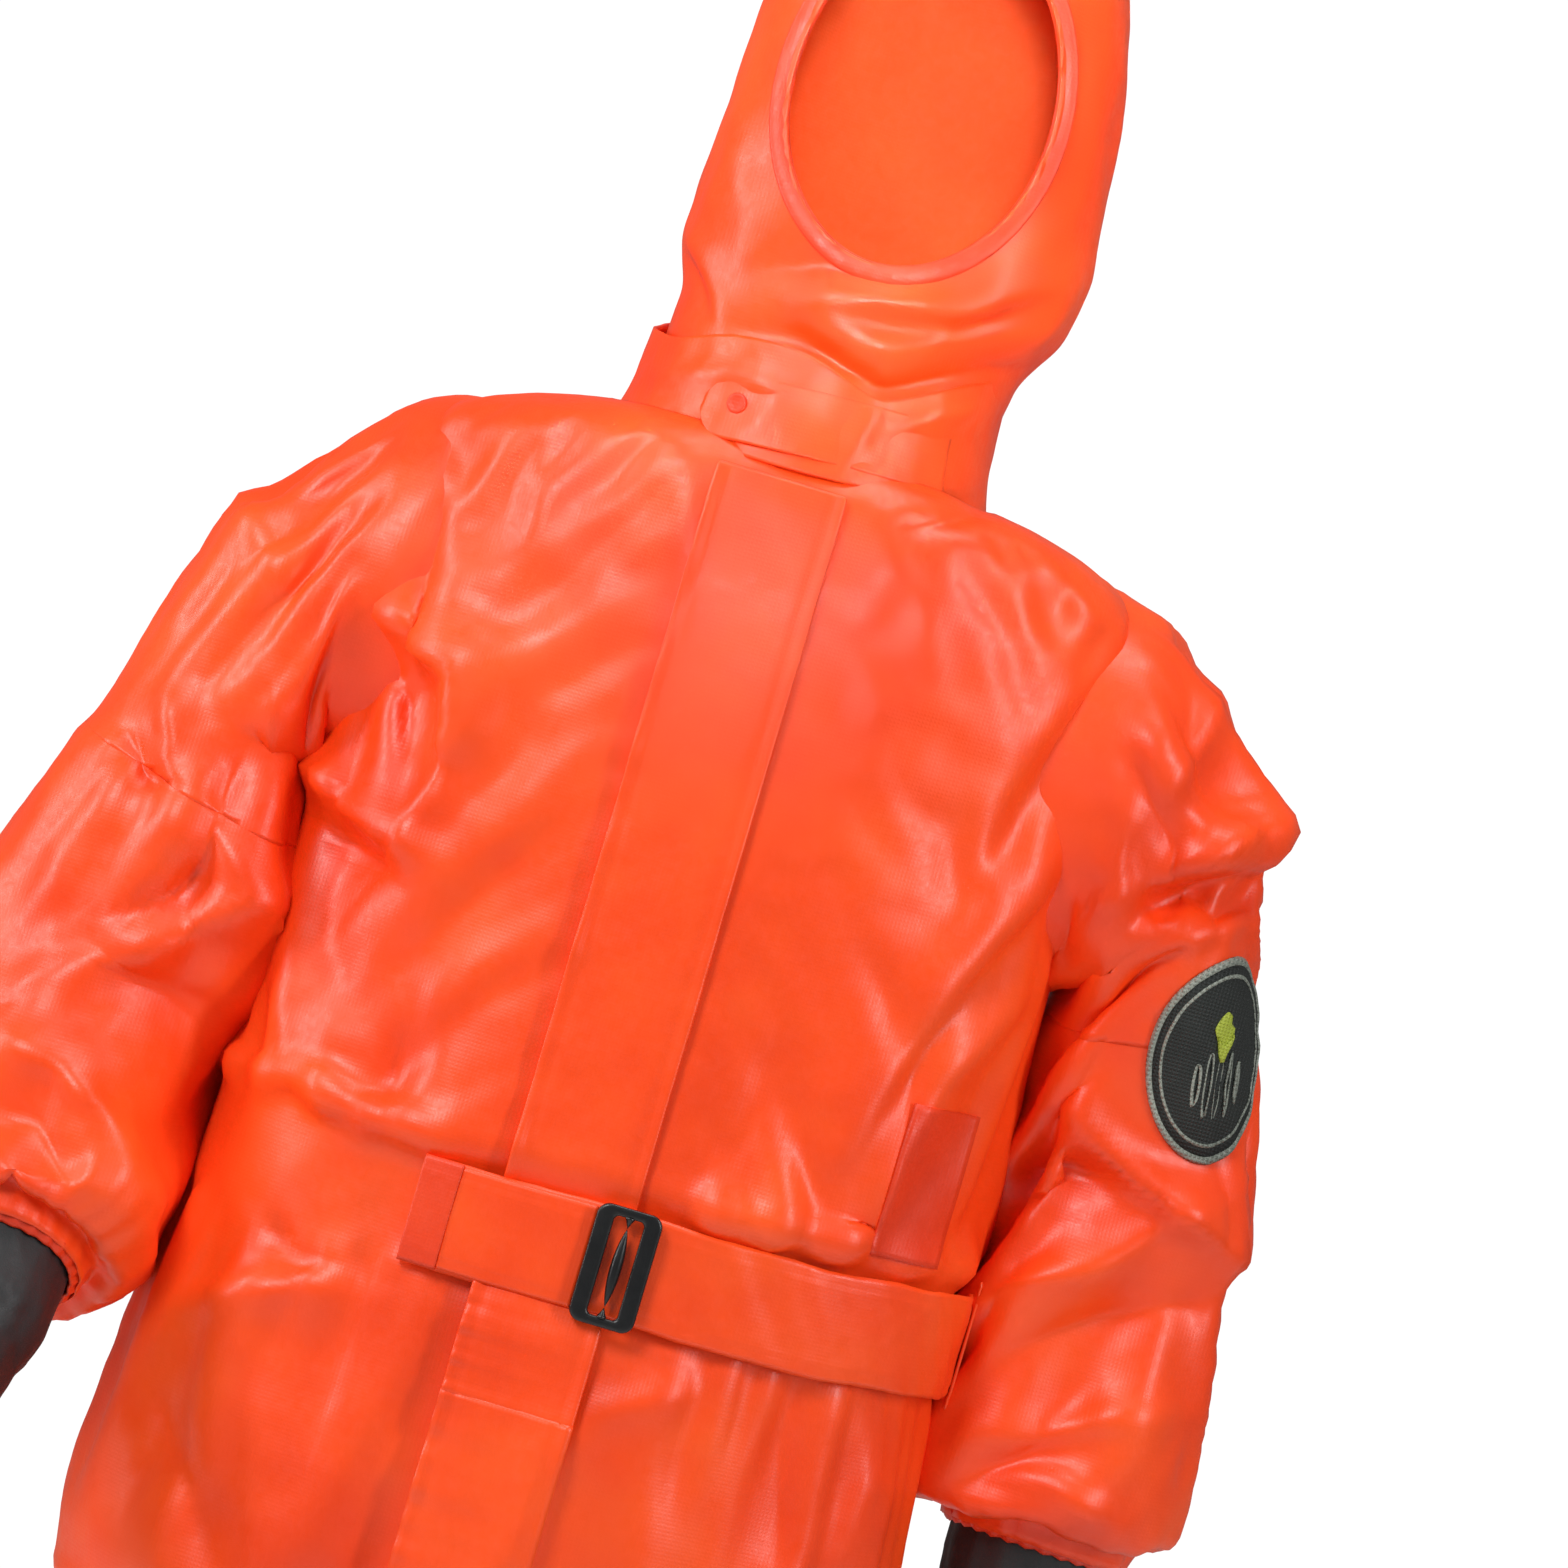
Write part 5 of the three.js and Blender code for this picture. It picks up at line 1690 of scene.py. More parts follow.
def round_button(name: str, place: np.ndarray, out: np.ndarray, radius: float, thick: float) -> Object:
    """A snap's cap: a shallow dished button with a rounded rim.

    Args:
        name: The piece's name.
        place: The middle of its underside.
        out: The way that it faces.
        radius: Its radius.
        thick: Its thickness.

    Returns:
        The new object.
    """
    profile = ((1.0, 0.0), (1.0, 0.55), (0.93, 0.9), (0.8, 1.0), (0.62, 0.86), (0.3, 0.8), (0.02, 0.8))
    side = unit(np.cross(out, UP))
    up = np.cross(side, out)
    grid = [
        [place + (side * math.cos(a) + up * math.sin(a)) * radius * r + out * thick * h
         for a in np.linspace(0, math.tau, 32, endpoint=False)]
        for r, h in profile
    ]
    return grid_mesh(name, np.array(grid), caps=True)


# ------------------------------------------------------------------ what is laid on the body


@dataclass
class Closure:
    """The front closure: a zip under a storm flap that hook and loop hold shut."""

    zip_x: float = -5
    top: float = -34
    belt_top: float = -436
    belt_bottom: float = -492
    bottom: float = -556
    fly_bottom: float = -690
    flap: tuple[float, float] = (-43, 32)
    tooth: float = 4.2
    tape_wide: float = 13
    strip: tuple[float, float] = (-39, -24)
    # how far the flap stands off the cloth above the belt and below it, where the slider has to pass
    high_off: float = 6.2
    low_off: float = 9.0

    def build(self, skin: Skin, palette: Palette) -> None:
        """Makes the tapes, the teeth, the slider, its pull, both strips, the flap and the fly below it."""
        for side, sign in (("left", 1), ("right", -1)):
            x = tuple(sorted((self.zip_x + sign * 0.6, self.zip_x + sign * self.tape_wide)))
            tape = skin.patch(f"suit_zip_tape_{side}", x, (self.top, self.bottom), 1.1, 0.8, (4, 90))
            palette.fit(tape, "torso", (f"zip_tape_{side}",), palette.tape, "red_tape")
        self.build_teeth(skin, palette)
        for name, off, body in (("hook", 1.2, "torso"), ("loop", 2.4, "storm_flap")):
            strip = skin.patch(f"suit_flap_{name}_strip", self.strip, (-50, self.belt_top + 12), off, 1.0,
                               (4, 80))
            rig.ride(strip, body)
            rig.replaces(strip, f"flap_{name}_strip")
            palette.dress(strip, palette.doubled_and_shaded)
        spans = (("upper", (-22, self.belt_top)), ("lower", (self.belt_bottom, self.bottom)))
        for name, z in spans:
            rows = 120 if name == "upper" else 24
            off = self.high_off if name == "upper" else self.low_off
            flap = skin.patch(f"suit_storm_flap_{name}", self.flap, z, off, 1.4, (22, rows), self.flap_lift)
            crinkle(flap, 0.05, mm(0.8), 61.0)
            shaped(flap, "SUBSURF", levels=1, render_levels=1)
            palette.fit(flap, "storm_flap", (f"storm_flap_{name}",), palette.cloth)
        fly = skin.patch("suit_fly", self.flap, (self.bottom + 2, self.fly_bottom), self.low_off, 1.4,
                         (22, 50), self.flap_lift)
        crinkle(fly, 0.05, mm(0.8), 61.0)
        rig.ride(fly, "torso")
        palette.dress(fly, palette.cloth)

    @staticmethod
    def flap_lift(across: float, down: float) -> float:
        """The flap stands a little off its free edge, and its stitched edge is drawn down."""
        free = max(0.0, 1 - across / 0.16) ** 2
        wave = 0.6 * math.sin(down * 21) + 0.4 * math.sin(down * 47 + 1)
        sewn_seam = -0.9 * math.exp(-(((across - 0.9) / 0.03) ** 2))
        free_seam = -0.8 * math.exp(-(((across - 0.1) / 0.02) ** 2))
        return 1.2 * free * (1 + wave) + sewn_seam + free_seam + 0.5 * wave * (1 - across)

    def build_teeth(self, skin: Skin, palette: Palette) -> None:
        """The zip's moulded teeth, two rows that mesh, with the slider and its pull at the top."""
        shape = bmesh.new()
        count = int((self.top - self.bottom - 8) / self.tooth * 2)
        for k in range(count):
            side = 1 if k % 2 else -1
            at = skin.front(self.zip_x + side * 1.1, self.top - 6 - k * self.tooth / 2) + AHEAD * mm(1.5)
            size = Matrix.Diagonal((mm(4.4), mm(2.2), mm(1.5), 1.0))
            bmesh.ops.create_cube(shape, size=1.0, matrix=Matrix.Translation(Vector(at)) @ size)
        mesh = bpy.data.meshes.new("suit_zip_teeth")
        shape.to_mesh(mesh)
        shape.free()
        teeth = bpy.data.objects.new("suit_zip_teeth", mesh)
        bpy.context.scene.collection.objects.link(teeth)
        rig.ride(teeth, "torso")
        palette.dress(teeth, palette.metal, "zip_metal")
        self.build_tag("slider", 5.0, (-60, -75), (1.2, 2.9), 0.28, skin, palette)
        self.build_tag("pull", 3.2, (-66, -92), (3.0, 3.8), 0.0, skin, palette)

    def build_tag(self, name: str, half: float, z: tuple[float, float], off: tuple[float, float],
                  waist: float, skin: Skin, palette: Palette) -> None:
        """One flat cast part of the slider, with round corners.

        Args:
            name: Its name.
            half: Half its width, in millimetres.
            z: Its top and its bottom, in millimetres.
            off: How far its two faces are off the cloth, in millimetres.
            waist: How much narrower its lower end is, as a share.
            skin: The body's cloth.
            palette: The finishes.
        """
        turn = np.linspace(0, math.tau, 40, endpoint=False)
        c, s = np.cos(turn), np.sin(turn)
        x = np.sign(c) * np.abs(c) ** 0.5 * half * (1 - waist * (s < 0) * np.abs(s))
        y = np.sign(s) * np.abs(s) ** 0.5 * (z[0] - z[1]) / 2
        outline = np.column_stack([x, y]) / 1000
        piece = outline_prism(f"suit_zip_{name}", outline, mm(off[0]), mm(off[1]), mm(0.5))
        at = skin.front(self.zip_x, (z[0] + z[1]) / 2)
        piece.data.transform(Matrix.Translation(Vector(at)) @ Matrix.Rotation(math.pi / 2, 4, "X"))
        palette.fit(piece, "zip_slider", (f"zip_{name}",), palette.metal, "zip_metal")


@dataclass
class Belt:
    """The waist belt of the suit's own cloth, with its buckle, keeper and free tail."""

    z: float = -464
    tall: float = 60
    lift: float = 3.6
    thick: float = 2.4
    # half width, front, back of the body under it, in millimetres
    body: tuple[float, float, float] = (226.5, 153, 131)
    squareness: float = 2.4
    right_x: float = -85
    end: float = 268
    tail: tuple[float, float] = (-84, 11)
    tip: float = 21
    tail_thick: float = 2.2
    keeper: tuple[float, float] = (84, 92)
    buckle_x: float = 30
    buckle: tuple[float, float, float] = (37, 67, 5)
    hole: tuple[float, float] = (17, 56)
    bar: float = 4.4

    def point(self, turn: float, z: float, off: float) -> np.ndarray:
        """A point round the waist, by its turn from the front towards the wearer's left in radians."""
        wide, front, back = (v + off for v in self.body)
        c, s = math.sin(turn), math.cos(turn)
        x = math.copysign(abs(c) ** (2 / self.squareness), c) * wide
        y = -math.copysign(abs(s) ** (2 / self.squareness), s) * (front if s > 0 else back)
        return mm(x, y, z)

    def turn_at(self, x: float) -> float:
        """The turn where the waist's front has this x."""
        return math.copysign(math.asin(min(1.0, abs(x) / self.body[0]) ** (self.squareness / 2)), x)

    def strap(self, name: str, turns: tuple[float, float], off: float, thick: float, steps: tuple[int, int],
              tall: Optional[float] = None, bow: float = 0.8) -> Object:
        """A length of webbing round the waist with folded edges and two stitched lines.

        Args:
            name: The piece's name.
            turns: Its two ends, in radians from the front.
            off: How far its outer face is off the body, in millimetres.
            thick: Its thickness, in millimetres.
            steps: How many points along and across.
            tall: Its height, if it isn't the belt's.
            bow: How much it wanders up and down, in millimetres.

        Returns:
            The new object.
        """
        half = (tall or self.tall) / 2
        grid = []
        for v in np.linspace(-1, 1, steps[1]):
            row = []
            for turn in np.linspace(*turns, steps[0]):
                drift = bow * (math.sin(turn * 7 + 1) + 0.6 * math.sin(turn * 17))
                edge = -0.9 * abs(v) ** 14
                stitch = -0.5 * math.exp(-(((abs(v) - 0.84) / 0.035) ** 2))
                wave = 0.5 * math.sin(turn * 23 + v * 2) + 0.35 * math.sin(turn * 51 + v * 5)
                row.append(self.point(turn, self.z + v * half + drift, off + edge + stitch + wave * bow))
            grid.append(row)
        strap = grid_mesh(name, np.array(grid), wrap=False)
        at = corners(strap)
        if (corner_normals(strap) * (at * np.array((1, 1, 0)))).sum() < 0:
            strap.data.flip_normals()
        return thicken(strap, mm(thick))

    def build(self, palette: Palette) -> None:
        """Makes the band, the tail and its tip, the keeper and the buckle."""
        outer = self.lift + self.thick
        round_waist = (self.turn_at(self.right_x), math.radians(self.end))
        band = self.strap("suit_belt", round_waist, outer, self.thick, (220, 25))
        crinkle(band, 0.035, mm(1.0), 71.0)
        palette.fit(band, "torso", ("belt_band",), palette.cloth)
        over = outer + 0.6 + self.tail_thick
        free, seam, sewn = (self.turn_at(x) for x in (self.tail[0], self.tail[0] + self.tip, self.tail[1]))
        thick = self.tail_thick
        tail = self.strap("suit_belt_tail", (seam, sewn), over, thick, (60, 25), self.tall - 2, 0.4)
        palette.fit(tail, "belt_tail", ("belt_tail",), palette.cloth)
        tip = self.strap("suit_belt_tail_tip", (free, seam), over + 0.7, 3.4, (20, 25), self.tall, 0.2)
        palette.fit(tip, "belt_tail", ("belt_tail_tip",), palette.doubled_and_shaded)
        loop = tuple(math.radians(turn) for turn in self.keeper)
        keeper = self.strap("suit_belt_keeper", loop, outer + 3.2, 1.8, (10, 27), self.tall + 16, 0.0)
        palette.fit(keeper, "torso", ("belt_keeper_left",), palette.cloth)
        self.build_buckle(over, palette)

    def outline(self, wide: float, tall: float, corner: float, count: int = 96) -> np.ndarray:
        """A rectangle with round corners, as evenly turning points."""
        points = []
        per = count // 4
        for k, (sx, sy) in enumerate(((1, 1), (-1, 1), (-1, -1), (1, -1))):
            for a in np.linspace(0, math.pi / 2, per, endpoint=False) + k * math.pi / 2:
                points.append((sx * (wide / 2 - corner) + corner * math.cos(a),
                               sy * (tall / 2 - corner) + corner * math.sin(a)))
        return np.array(points)

    def build_buckle(self, over: float, palette: Palette) -> None:
        """The moulded buckle: a softened frame with a round bar that the belt turns on."""
        wide, tall, thick = self.buckle
        outer = self.outline(wide, tall, 7)
        inner = self.outline(*self.hole, 3)
        y = -(self.body[1] + over + 1.0 + thick / 2)
        rows = []
        for o, i in zip(outer, inner):
            middle, half = (o + i) / 2, (o - i) / 2
            turn = np.linspace(0, math.tau, 16, endpoint=False)
            c, s = np.cos(turn), np.sin(turn)
            across = np.sign(c) * np.abs(c) ** 0.5
            ahead = np.sign(s) * np.abs(s) ** 0.5 * thick / 2
            rows.append([mm(self.buckle_x + middle[0] + half[0] * a, y + h, self.z + middle[1] + half[1] * a)
                         for a, h in zip(across, ahead)])
        rows.append(rows[0])
        rim = grid_mesh("suit_buckle_frame", np.array(rows))
        shaped(rim, "WELD", merge_threshold=1e-6)
        face_out(rim)
        palette.fit(rim, "buckle", ("buckle_frame",), palette.nylon, "black_plastic")
        ends = [level_ring(mm(self.z + s * self.hole[1] / 2 * k), mm(self.bar / 2 * w), mm(self.bar / 2 * w),
                           mm(self.bar / 2 * w), x=mm(self.buckle_x), y=mm(y))
                for s, k, w in ((1, 1.02, 1.5), (1, 0.96, 1.0), (-1, 0.96, 1.0), (-1, 1.02, 1.5))]
        bar = grid_mesh("suit_buckle_bar", swept(ends, 30, 20), caps=True)
        palette.fit(bar, "buckle", ("buckle_bar",), palette.nylon, "black_plastic")


@dataclass
class SideShadowPatch:
    """A dark sheet at the wearer's left side, above the belt, in the deeper two-layer finish: its dark colour is
    painted shadow of a recess in the cloth.
    """

    x: tuple[float, float] = (163, 203)
    z: tuple[float, float] = (-333, -421)

    def build(self, skin: Skin, palette: Palette) -> None:
        """Lays the patch on the body's side."""
        patch = skin.patch("suit_side_shadow_patch", self.x, self.z, 2.0, 1.4, (14, 24))
        # the deeper finish here is painted shadow
        palette.fit(patch, "torso", ("side_patch_left",), palette.doubled_and_shaded)


# ------------------------------------------------------------------ gloves, boots and badge


def fused(name: str, nodes: Sequence[str], voxel: float, smoothing: int) -> Object:
    """One smooth moulding made from several fixed pieces.

    Args:
        name: The new piece's name.
        nodes: The fixed pieces.
        voxel: The size that their shape is rebuilt at, in millimetres.
        smoothing: How many times it's smoothed.

    Returns:
        The new object.
    """
    whole = joined(name, [copy_of(frame["nodes"][node], f"{name}_{k}") for k, node in enumerate(nodes)])
    shaped(whole, "REMESH", mode="VOXEL", voxel_size=mm(voxel), use_smooth_shade=True)
    shaped(whole, "SMOOTH", factor=0.5, iterations=smoothing)
    face_out(whole)
    whole.data.shade_smooth()
    return whole


@dataclass
class Glove:
    """A dipped rubber glove: its gauntlet reaches up inside the sleeve."""

    arm: ArmLine
    # how far past the cuff the stretch that bends starts and ends, in millimetres
    wrist: tuple[float, float] = (45, 67)

    def build(self, palette: Palette) -> None:
        """Makes the glove and bends it between the forearm and the hand."""
        side = self.arm.side
        names = [f"{side}_glove_gauntlet", f"{side}_wrist_section", f"{side}_glove_hand"]
        glove = fused(f"suit_glove_{side}", names, 2.8, 9)
        crinkle(glove, 0.03, mm(1.3), 81.0)
        wrist = mm(*self.arm.wrist)
        start, end = (tuple(wrist + self.arm.fore * mm(far)) for far in self.wrist)
        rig.blend(glove, f"{side}_forearm", f"{side}_hand", start=start, end=end)
        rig.replaces(glove, *names)
        palette.dress(glove, palette.rubber, "black_rubber")
        self.build_cuff(palette)

    def build_cuff(self, palette: Palette) -> None:
        """The elastic cuff that grips the gauntlet: a gathered band."""
        arm = self.arm
        rings = [arm.facing(arm.on_fore(arm.fore_long + far, wide, wide))
                 for far, wide in ((-4, 57), (1, 56), (5, 54.5), (9, 56), (13, 54), (15, 51.5))]
        grid = swept(rings, 14, 120)
        cuff = grid_mesh(f"suit_cuff_{arm.side}", grid)
        at, ways = corners(cuff), corner_normals(cuff)
        turn = np.tile(np.arange(120) * math.tau / 120, 14)
        set_corners(cuff, at + ways * (np.sin(turn * 30) * mm(0.9))[:, None])
        thicken(cuff, mm(2.0))
        palette.fit(cuff, f"{arm.side}_forearm", (f"{arm.side}_sleeve_cuff",), palette.doubled_and_shaded)


@dataclass
class Boot:
    """A moulded rubber boot under the trouser leg, with a lugged sole."""

    side: str
    x: float = 126
    sole_z: float = -1480
    welt_z: float = -1467
    # heights of the stretch that bends at the ankle, and of the moulded line round the foot
    ankle: tuple[float, float] = (-1383, -1407)
    line_z: float = -1452
    # where the moulded lines over the toe and the heel run in y, and the top of the foot
    toe_y: float = -105
    heel_y: float = 52
    foot_top: float = -1398
    # the lugs' length and step, and where the arch has none
    lug: float = 9
    lug_step: float = 14.5
    arch: tuple[float, float] = (8, 30)
    # y and half width along the foot from heel to toe, in millimetres
    outline: tuple[tuple[float, float], ...] = (
        (91, 12), (86, 26), (72, 37), (30, 41), (-25, 45), (-75, 50), (-120, 53), (-160, 48), (-186, 35),
        (-198, 18), (-201, 8),
    )

    def build(self, palette: Palette) -> None:
        """Makes the boot and its sole."""
        sign = 1 if self.side == "left" else -1
        names = [f"{self.side}_boot_shaft", f"{self.side}_ankle_section", f"{self.side}_boot_foot"]
        boot = fused(f"suit_boot_{self.side}", names, 3.4, 10)
        at, ways = corners(boot), corner_normals(boot)
        y, z = at[:, 1] * 1000, at[:, 2] * 1000
        toe = np.exp(-(((y - self.toe_y + (z + 1430) * 0.35) / 2.6) ** 2))
        line = np.exp(-(((z - self.line_z) / 3.0) ** 2))
        heel = np.exp(-(((y - self.heel_y) / 2.4) ** 2))
        raised = (toe + line + heel) * (z < self.foot_top) * mm(1.3)
        set_corners(boot, at + ways * raised[:, None])
        crinkle(boot, 0.04, mm(1.0), 91.0, lambda p: smooth(p[:, 2], -1.42, -1.38) * 0.8 + 0.2)
        start, end = ((sign * mm(self.x), mm(12), mm(z)) for z in self.ankle)
        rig.blend(boot, f"{self.side}_shin", f"{self.side}_foot", start=start, end=end)
        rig.replaces(boot, *names)
        palette.dress(boot, palette.rubber, "black_rubber")
        self.build_sole(sign, palette)

    def build_sole(self, sign: int, palette: Palette) -> None:
        """The sole: a softened outline, and lugs that leave grooves under it."""
        ys, halves = (np.array(v) for v in zip(*self.outline))
        y = np.linspace(ys[0], ys[-1], 44)
        order = np.argsort(ys)
        half = np.interp(y, ys[order], halves[order])
        turn = np.concatenate([np.column_stack([half, y]), np.column_stack([-half, y])[::-1]])
        turn[:, 0] += sign * self.x
        bottom = mm(self.sole_z)
        top = mm(self.welt_z)
        pieces = [outline_prism(f"suit_sole_{self.side}", turn / 1000, bottom + mm(4), top, mm(1.6))]
        for k, low in enumerate(np.arange(-186, 78, self.lug_step)):
            wide = float(np.interp(low + 5, ys[order], halves[order])) - 3
            under_arch = self.arch[0] < low < self.arch[1]
            if under_arch or wide < 10:
                continue
            skew = 3 if k % 2 else -3
            high = low + self.lug
            shape = np.array(((-wide, low + skew), (0, low - skew), (wide, low + skew),
                              (wide, high + skew), (0, high - skew), (-wide, high + skew)))
            shape[:, 0] += sign * self.x
            pieces.append(outline_prism(f"lug_{k}", shape / 1000, bottom, bottom + mm(5), mm(0.8)))
        sole = joined(f"suit_sole_{self.side}_whole", pieces)
        palette.fit(sole, f"{self.side}_foot", (f"{self.side}_boot_sole",), palette.rubber, "black_rubber")


@dataclass
class Badge:
    """A plain oval badge sewn to the left upper sleeve: dark ground, silver rim, and a leaf over bars."""

    arm: ArmLine
    wide: float = 80
    tall: float = 124
    down: float = BADGE_DOWN
    turn: float = BADGE_TURN
    bend: float = 66  # the radius of the sleeve under it

    def way(self, along: float, x: float) -> np.ndarray:
        """The way out of the sleeve, some millimetres down the arm and round it from the badge's middle."""
        ring = self.arm.on_upper(along, 1, 1)
        angle = math.radians(self.turn) + x / self.bend
        return unit(ring.across) * math.cos(angle) + unit(ring.front) * math.sin(angle)

    def place(self, skin: Skin, x: float, y: float, off: float) -> np.ndarray:
        """A point of the badge, from its middle: x and y in millimetres."""
        along = self.down - y
        start = mm(*self.arm.start) + self.arm.upper * mm(along)
        way = self.way(along, x)
        found = skin.hit(start + way * 0.16, -way)
        base = found if found is not None else start + way * mm(60)
        return base + way * mm(off)

    def layer(self, name: str, skin: Skin, outline: Callable[[float], tuple[float, float]], off: float,
              rings: Sequence[float], dome: float) -> Object:
        """One sewn layer: an outline filled in rings, lying on the sleeve.

        Args:
            name: The layer's name.
            skin: The sleeve.
            outline: The outline's x and y at each turn.
            off: How far its face is off the cloth.
            rings: The share of the outline's size for each ring.
            dome: How far the middle of the ring band stands up.

        Returns:
            The layer.
        """
        turns = np.linspace(0, math.tau, 96, endpoint=False)
        rows = []
        for k, share in enumerate(rings):
            rise = dome * math.sin(math.pi * k / (len(rings) - 1)) if dome else 0.0
            edge = [(x * share, y * share) for x, y in map(outline, turns)]
            rows.append([self.place(skin, x, y, off + rise) for x, y in edge])
        return grid_mesh(name, np.array(rows))

    def oval(self, turn: float) -> tuple[float, float]:
        """The badge's edge."""
        return self.wide / 2 * math.cos(turn), self.tall / 2 * math.sin(turn)

    def mark(self, turn: float) -> tuple[float, float]:
        """The small mark: a plain leaf shape."""
        reach = abs(math.sin(turn)) ** 1.6
        return 7 * math.cos(turn) * (1 - 0.5 * reach), 10 * math.sin(turn) + 20

    @staticmethod
    def bar(x: float, tall: float) -> Callable[[float], tuple[float, float]]:
        """The outline of one upright stitched bar under the mark."""
        return lambda turn: (x + 1.7 * math.cos(turn), -14 + tall / 2 * math.sin(turn))

    def build(self, skin: Skin, palette: Palette) -> None:
        """Makes the badge's layers; they are soft thread, so the rim, the inner line and the mark each have a low
        dome.
        """
        inside = (0.01, 0.25, 0.5, 0.7, 0.84, 0.93)
        layers = (
            ("ground", self.oval, 2.2, inside, 0.0, palette.badge_ground),
            ("rim", self.oval, 1.2, (0.91, 0.925, 0.945, 0.965, 0.985, 1.0), 1.9, palette.badge_rim),
            ("inner_line", self.oval, 2.2, (0.80, 0.81, 0.82, 0.83, 0.84), 0.7, palette.badge_rim),
            ("mark", self.mark, 2.5, (0.02, 0.3, 0.6, 0.85, 1.0), 0.5, palette.badge_mark),
            *((f"bar_{k}", self.bar(x, tall), 2.4, (0.9, 1.0), 0.0, palette.badge_rim)
              for k, (x, tall) in enumerate(((-14, 26), (-7, 40), (0, 46), (7, 40), (14, 26)))),
        )
        for name, outline, off, rings, dome, finish in layers:
            piece = self.layer(f"suit_badge_{name}", skin, outline, off, rings, dome)
            if (corner_normals(piece) @ self.way(self.down, 0)).mean() < 0:
                piece.data.flip_normals()
            thicken(piece, mm(1.2))
            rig.ride(piece, "left_upper_arm")
            if name == "ground":
                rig.replaces(piece, "sleeve_badge")
            palette.dress(piece, finish, "badge")


# ------------------------------------------------------------------ where it stands


@dataclass
class Studio:
    """A white studio: soft boxes that streak the wet-looking cloth, and a camera that's rolled a little."""

    aim: tuple[float, float, float] = (0.043, 0.0, -0.184)
    distance: float = 3.0
    lens: float = 119.0
    roll: float = 16.5
    floor: float = -1.4805

    def build(self) -> None:
        """Sets up the world, the lights, the floor and the camera."""
        self.build_world()
        lights = (
            # name, place, aim, width, height, watts
            ("key_box", (-1.5, -2.4, 1.5), (0, 0, -0.1), 0.9, 1.2, 54),
            ("left_box", (1.9, -1.5, 0.7), (0, 0, -0.2), 0.35, 1.8, 30),
            ("right_box", (-2.1, -0.5, 0.2), (-0.1, 0, -0.3), 0.3, 1.8, 24),
            ("top_box", (0.1, -0.5, 2.2), (0, 0, 0), 1.2, 0.7, 22),
            ("hood_spot", (0.05, -2.6, 0.1), (0.01, 0.1, 0.2), 0.3, 0.3, 0.5),
        )
        for name, place, aim, wide, tall, watts in lights:
            self.add_light(name, place, aim, wide, tall, watts)
        bpy.data.lights["hood_spot"].spread = math.radians(14)
        self.build_floor()
        self.build_camera()
        bpy.context.scene.view_settings.view_transform = "Standard"

    def build_world(self) -> None:
        """White to the eye, and a gentler light on the suit."""
        world = bpy.data.worlds.new("white_room")
        bpy.context.scene.world = world
        world.use_nodes = True
        tree = world.node_tree
        tree.nodes.clear()
        seen = add_node(tree, "ShaderNodeBackground", {"Color": (1, 1, 1, 1), "Strength": 1.05})
        shed = add_node(tree, "ShaderNodeBackground", {"Color": linear("#f6f4f2"), "Strength": 0.21})
        path = add_node(tree, "ShaderNodeLightPath")
        both = add_node(tree, "ShaderNodeMixShader", links={
            0: path.outputs["Is Camera Ray"], 1: shed.outputs[0], 2: seen.outputs[0]})
        add_node(tree, "ShaderNodeOutputWorld", links={"Surface": both.outputs[0]})

    @staticmethod
    def add_light(name: str, place: Sequence[float], aim: Sequence[float], wide: float, tall: float,
                  watts: float) -> None:
        """Adds one soft box that faces a point."""
        lamp = bpy.data.lights.new(name, "AREA")
        lamp.shape, lamp.size, lamp.size_y, lamp.energy = "RECTANGLE", wide, tall, watts
        box = bpy.data.objects.new(name, lamp)
        box.location = place
        box.rotation_euler = (Vector(aim) - Vector(place)).to_track_quat("-Z", "Y").to_euler()
        bpy.context.scene.collection.objects.link(box)

    def build_floor(self) -> None:
        """A white floor under the boots."""
        half = 3.0
        floor = make_mesh("studio_floor", np.array([(-half, -half, self.floor), (half, -half, self.floor),
                                                    (half, half, self.floor), (-half, half, self.floor)]),
                          [(0, 1, 2, 3)])
        paint = bpy.data.materials.new("white_matt_paint")
        paint.use_nodes = True
        shader = paint.node_tree.nodes["Principled BSDF"]
        shader.inputs["Base Color"].default_value = linear("#f2f1ef")
        shader.inputs["Roughness"].default_value = 0.8
        floor.data.materials.append(paint)
        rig.stage(floor)

    def build_camera(self) -> None:
        """The camera, level with the chest and rolled so that the suit leans to the right."""
        lens = bpy.data.cameras.new("camera")
        lens.lens = self.lens
        camera = bpy.data.objects.new("camera", lens)
        place = Vector(self.aim) + Vector((0, -self.distance, 0))
        camera.matrix_world = (Matrix.Translation(place) @ Matrix.Rotation(math.pi / 2, 4, "X")
                               @ Matrix.Rotation(math.radians(self.roll), 4, "Z"))
        bpy.context.scene.collection.objects.link(camera)
        bpy.context.scene.camera = camera


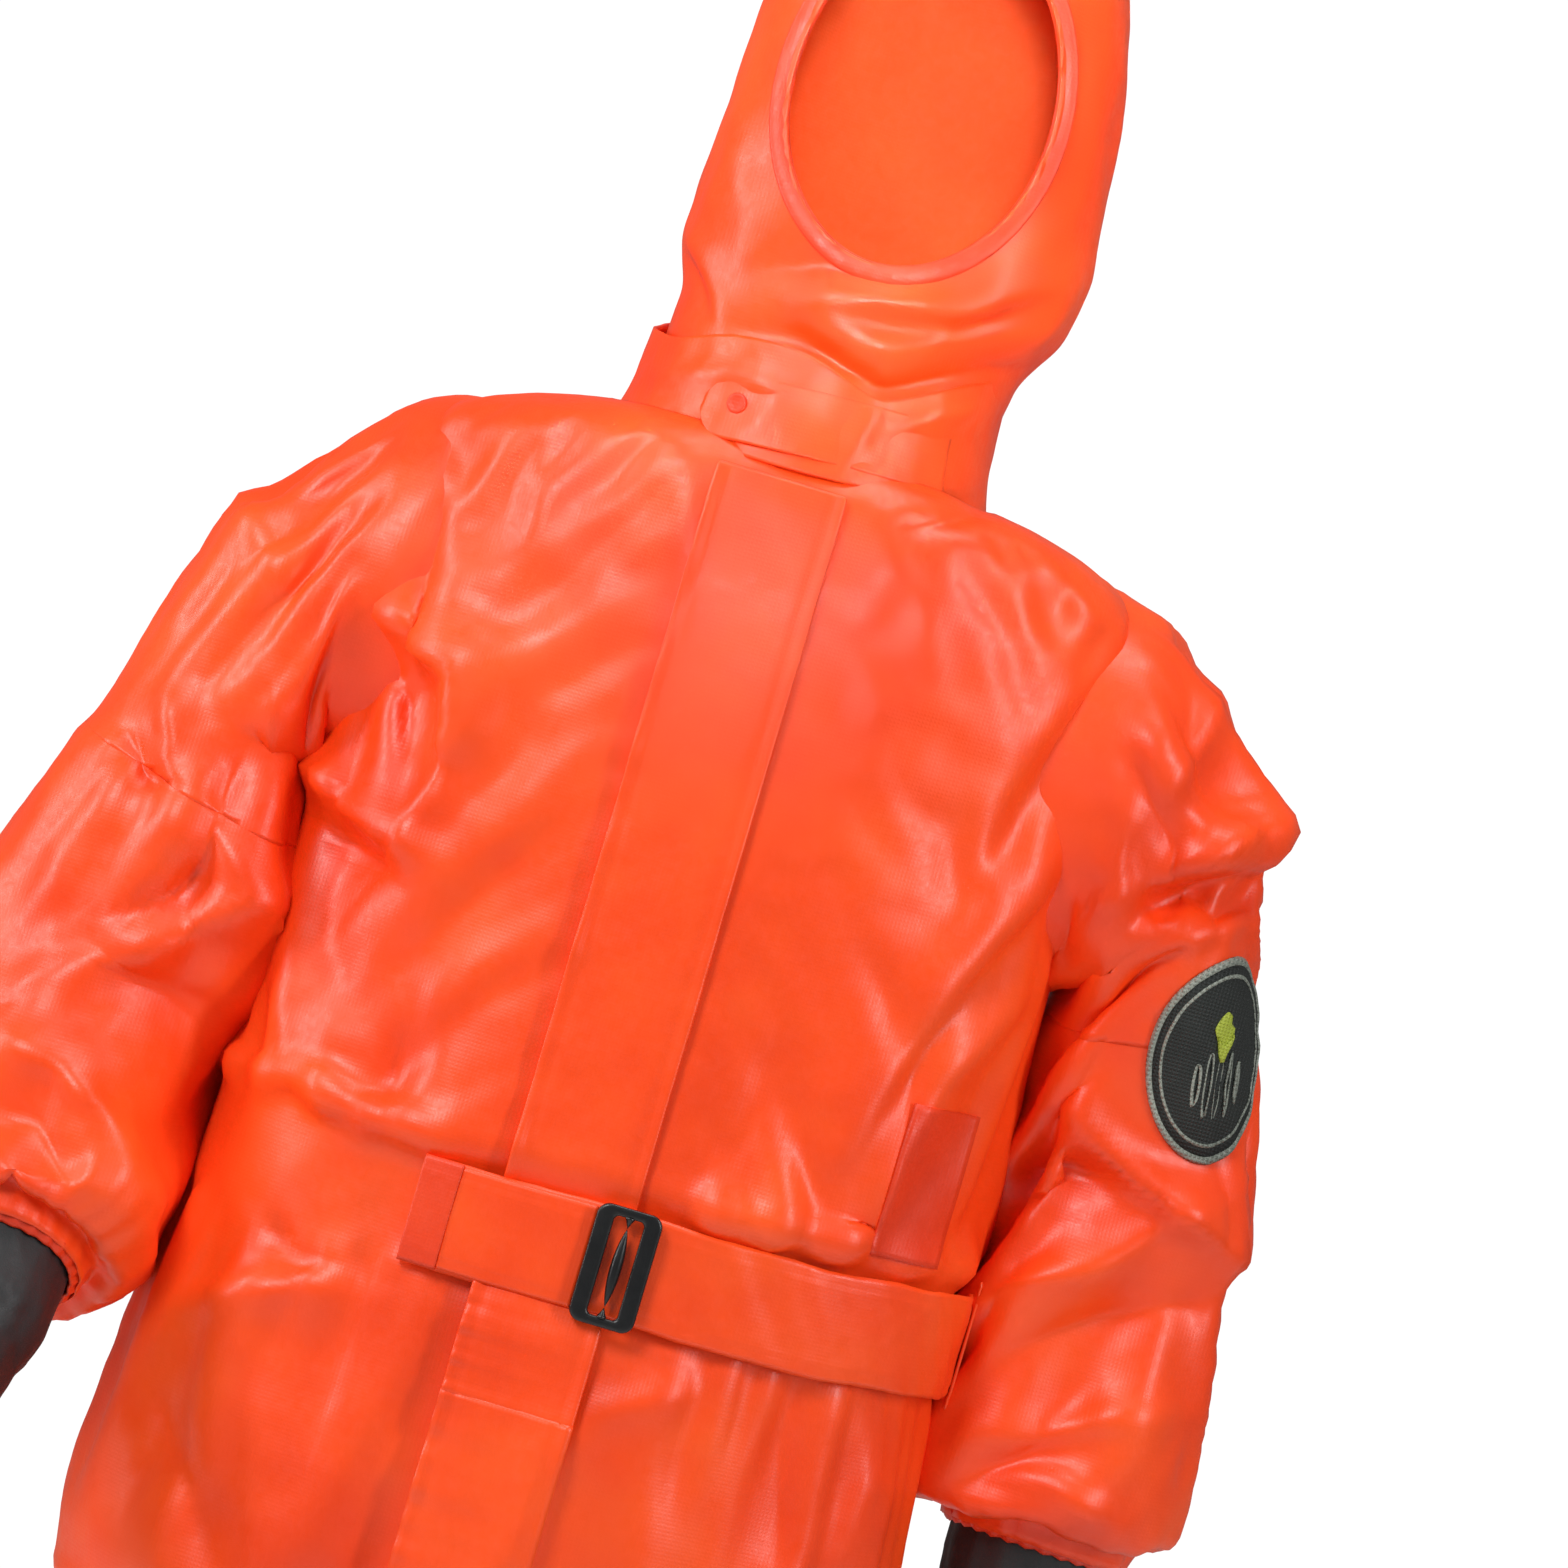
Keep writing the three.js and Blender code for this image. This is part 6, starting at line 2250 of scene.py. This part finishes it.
def declare_cloth() -> None:
    """States each main piece of cloth as a sheet, with the size that it was cut to."""
    for name, flat, rests in SHEETS:
        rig.sheet(bpy.data.objects[name], flat=flat, held="draped", rests_on=rests)


SHEETS: tuple[tuple[str, tuple[float, float], list[str]], ...] = (
    ("suit_trunk", (1.30, 0.80), ["suit_collar"]),
    ("left_sleeve_upper", (0.56, 0.24), ["suit_trunk"]),
    ("left_sleeve_lower", (0.50, 0.34), ["left_sleeve_upper"]),
    ("right_sleeve_upper", (0.58, 0.24), ["suit_trunk"]),
    ("right_sleeve_lower", (0.52, 0.36), ["right_sleeve_upper"]),
    *(row for side in SIDES for row in (
        (f"{side}_leg_upper", (0.70, 0.20), ["suit_trunk"]),
        (f"{side}_leg_lower", (0.60, 0.48), [f"{side}_leg_upper"]),
    )),
    ("suit_hood", (0.72, 0.40), ["suit_collar"]),
    ("suit_storm_flap_upper", (0.08, 0.42), ["suit_trunk"]),
    ("suit_storm_flap_lower", (0.08, 0.07), ["suit_trunk"]),
    ("suit_fly", (0.08, 0.14), ["suit_trunk"]),
)


def main() -> None:
    """Builds every sub-assembly in order."""
    logging.basicConfig(level=logging.INFO, format="%(name)s %(message)s")
    palette = Palette()
    Studio().build()
    trunk = Trunk().build(palette)
    skin = Skin(trunk)
    Closure().build(skin, palette)
    Belt().build(palette)
    SideShadowPatch().build(skin, palette)
    for arm, folds in ((RIGHT_ARM, RIGHT_SLEEVE_FOLDS), (LEFT_ARM, LEFT_SLEEVE_FOLDS)):
        Sleeve(arm, folds, badge_down=BADGE_DOWN if arm.side == "left" else None).build(palette)
        Glove(arm).build(palette)
    sleeve = Skin(bpy.data.objects["left_sleeve_upper"], bpy.data.objects["left_sleeve_lower"])
    Badge(LEFT_ARM).build(sleeve, palette)
    for side in SIDES:
        Trouser(side).build(palette)
        Boot(side).build(palette)
    Hood().build(palette)
    Collar().build(palette)
    declare_cloth()
    sizes = {"cad": [list(c) for c in CAD_BOX], "visual": [list(c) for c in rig.bounds()]}
    with open("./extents.json", "w") as file:
        json.dump(sizes, file)


if __name__ == "__main__":
    main()
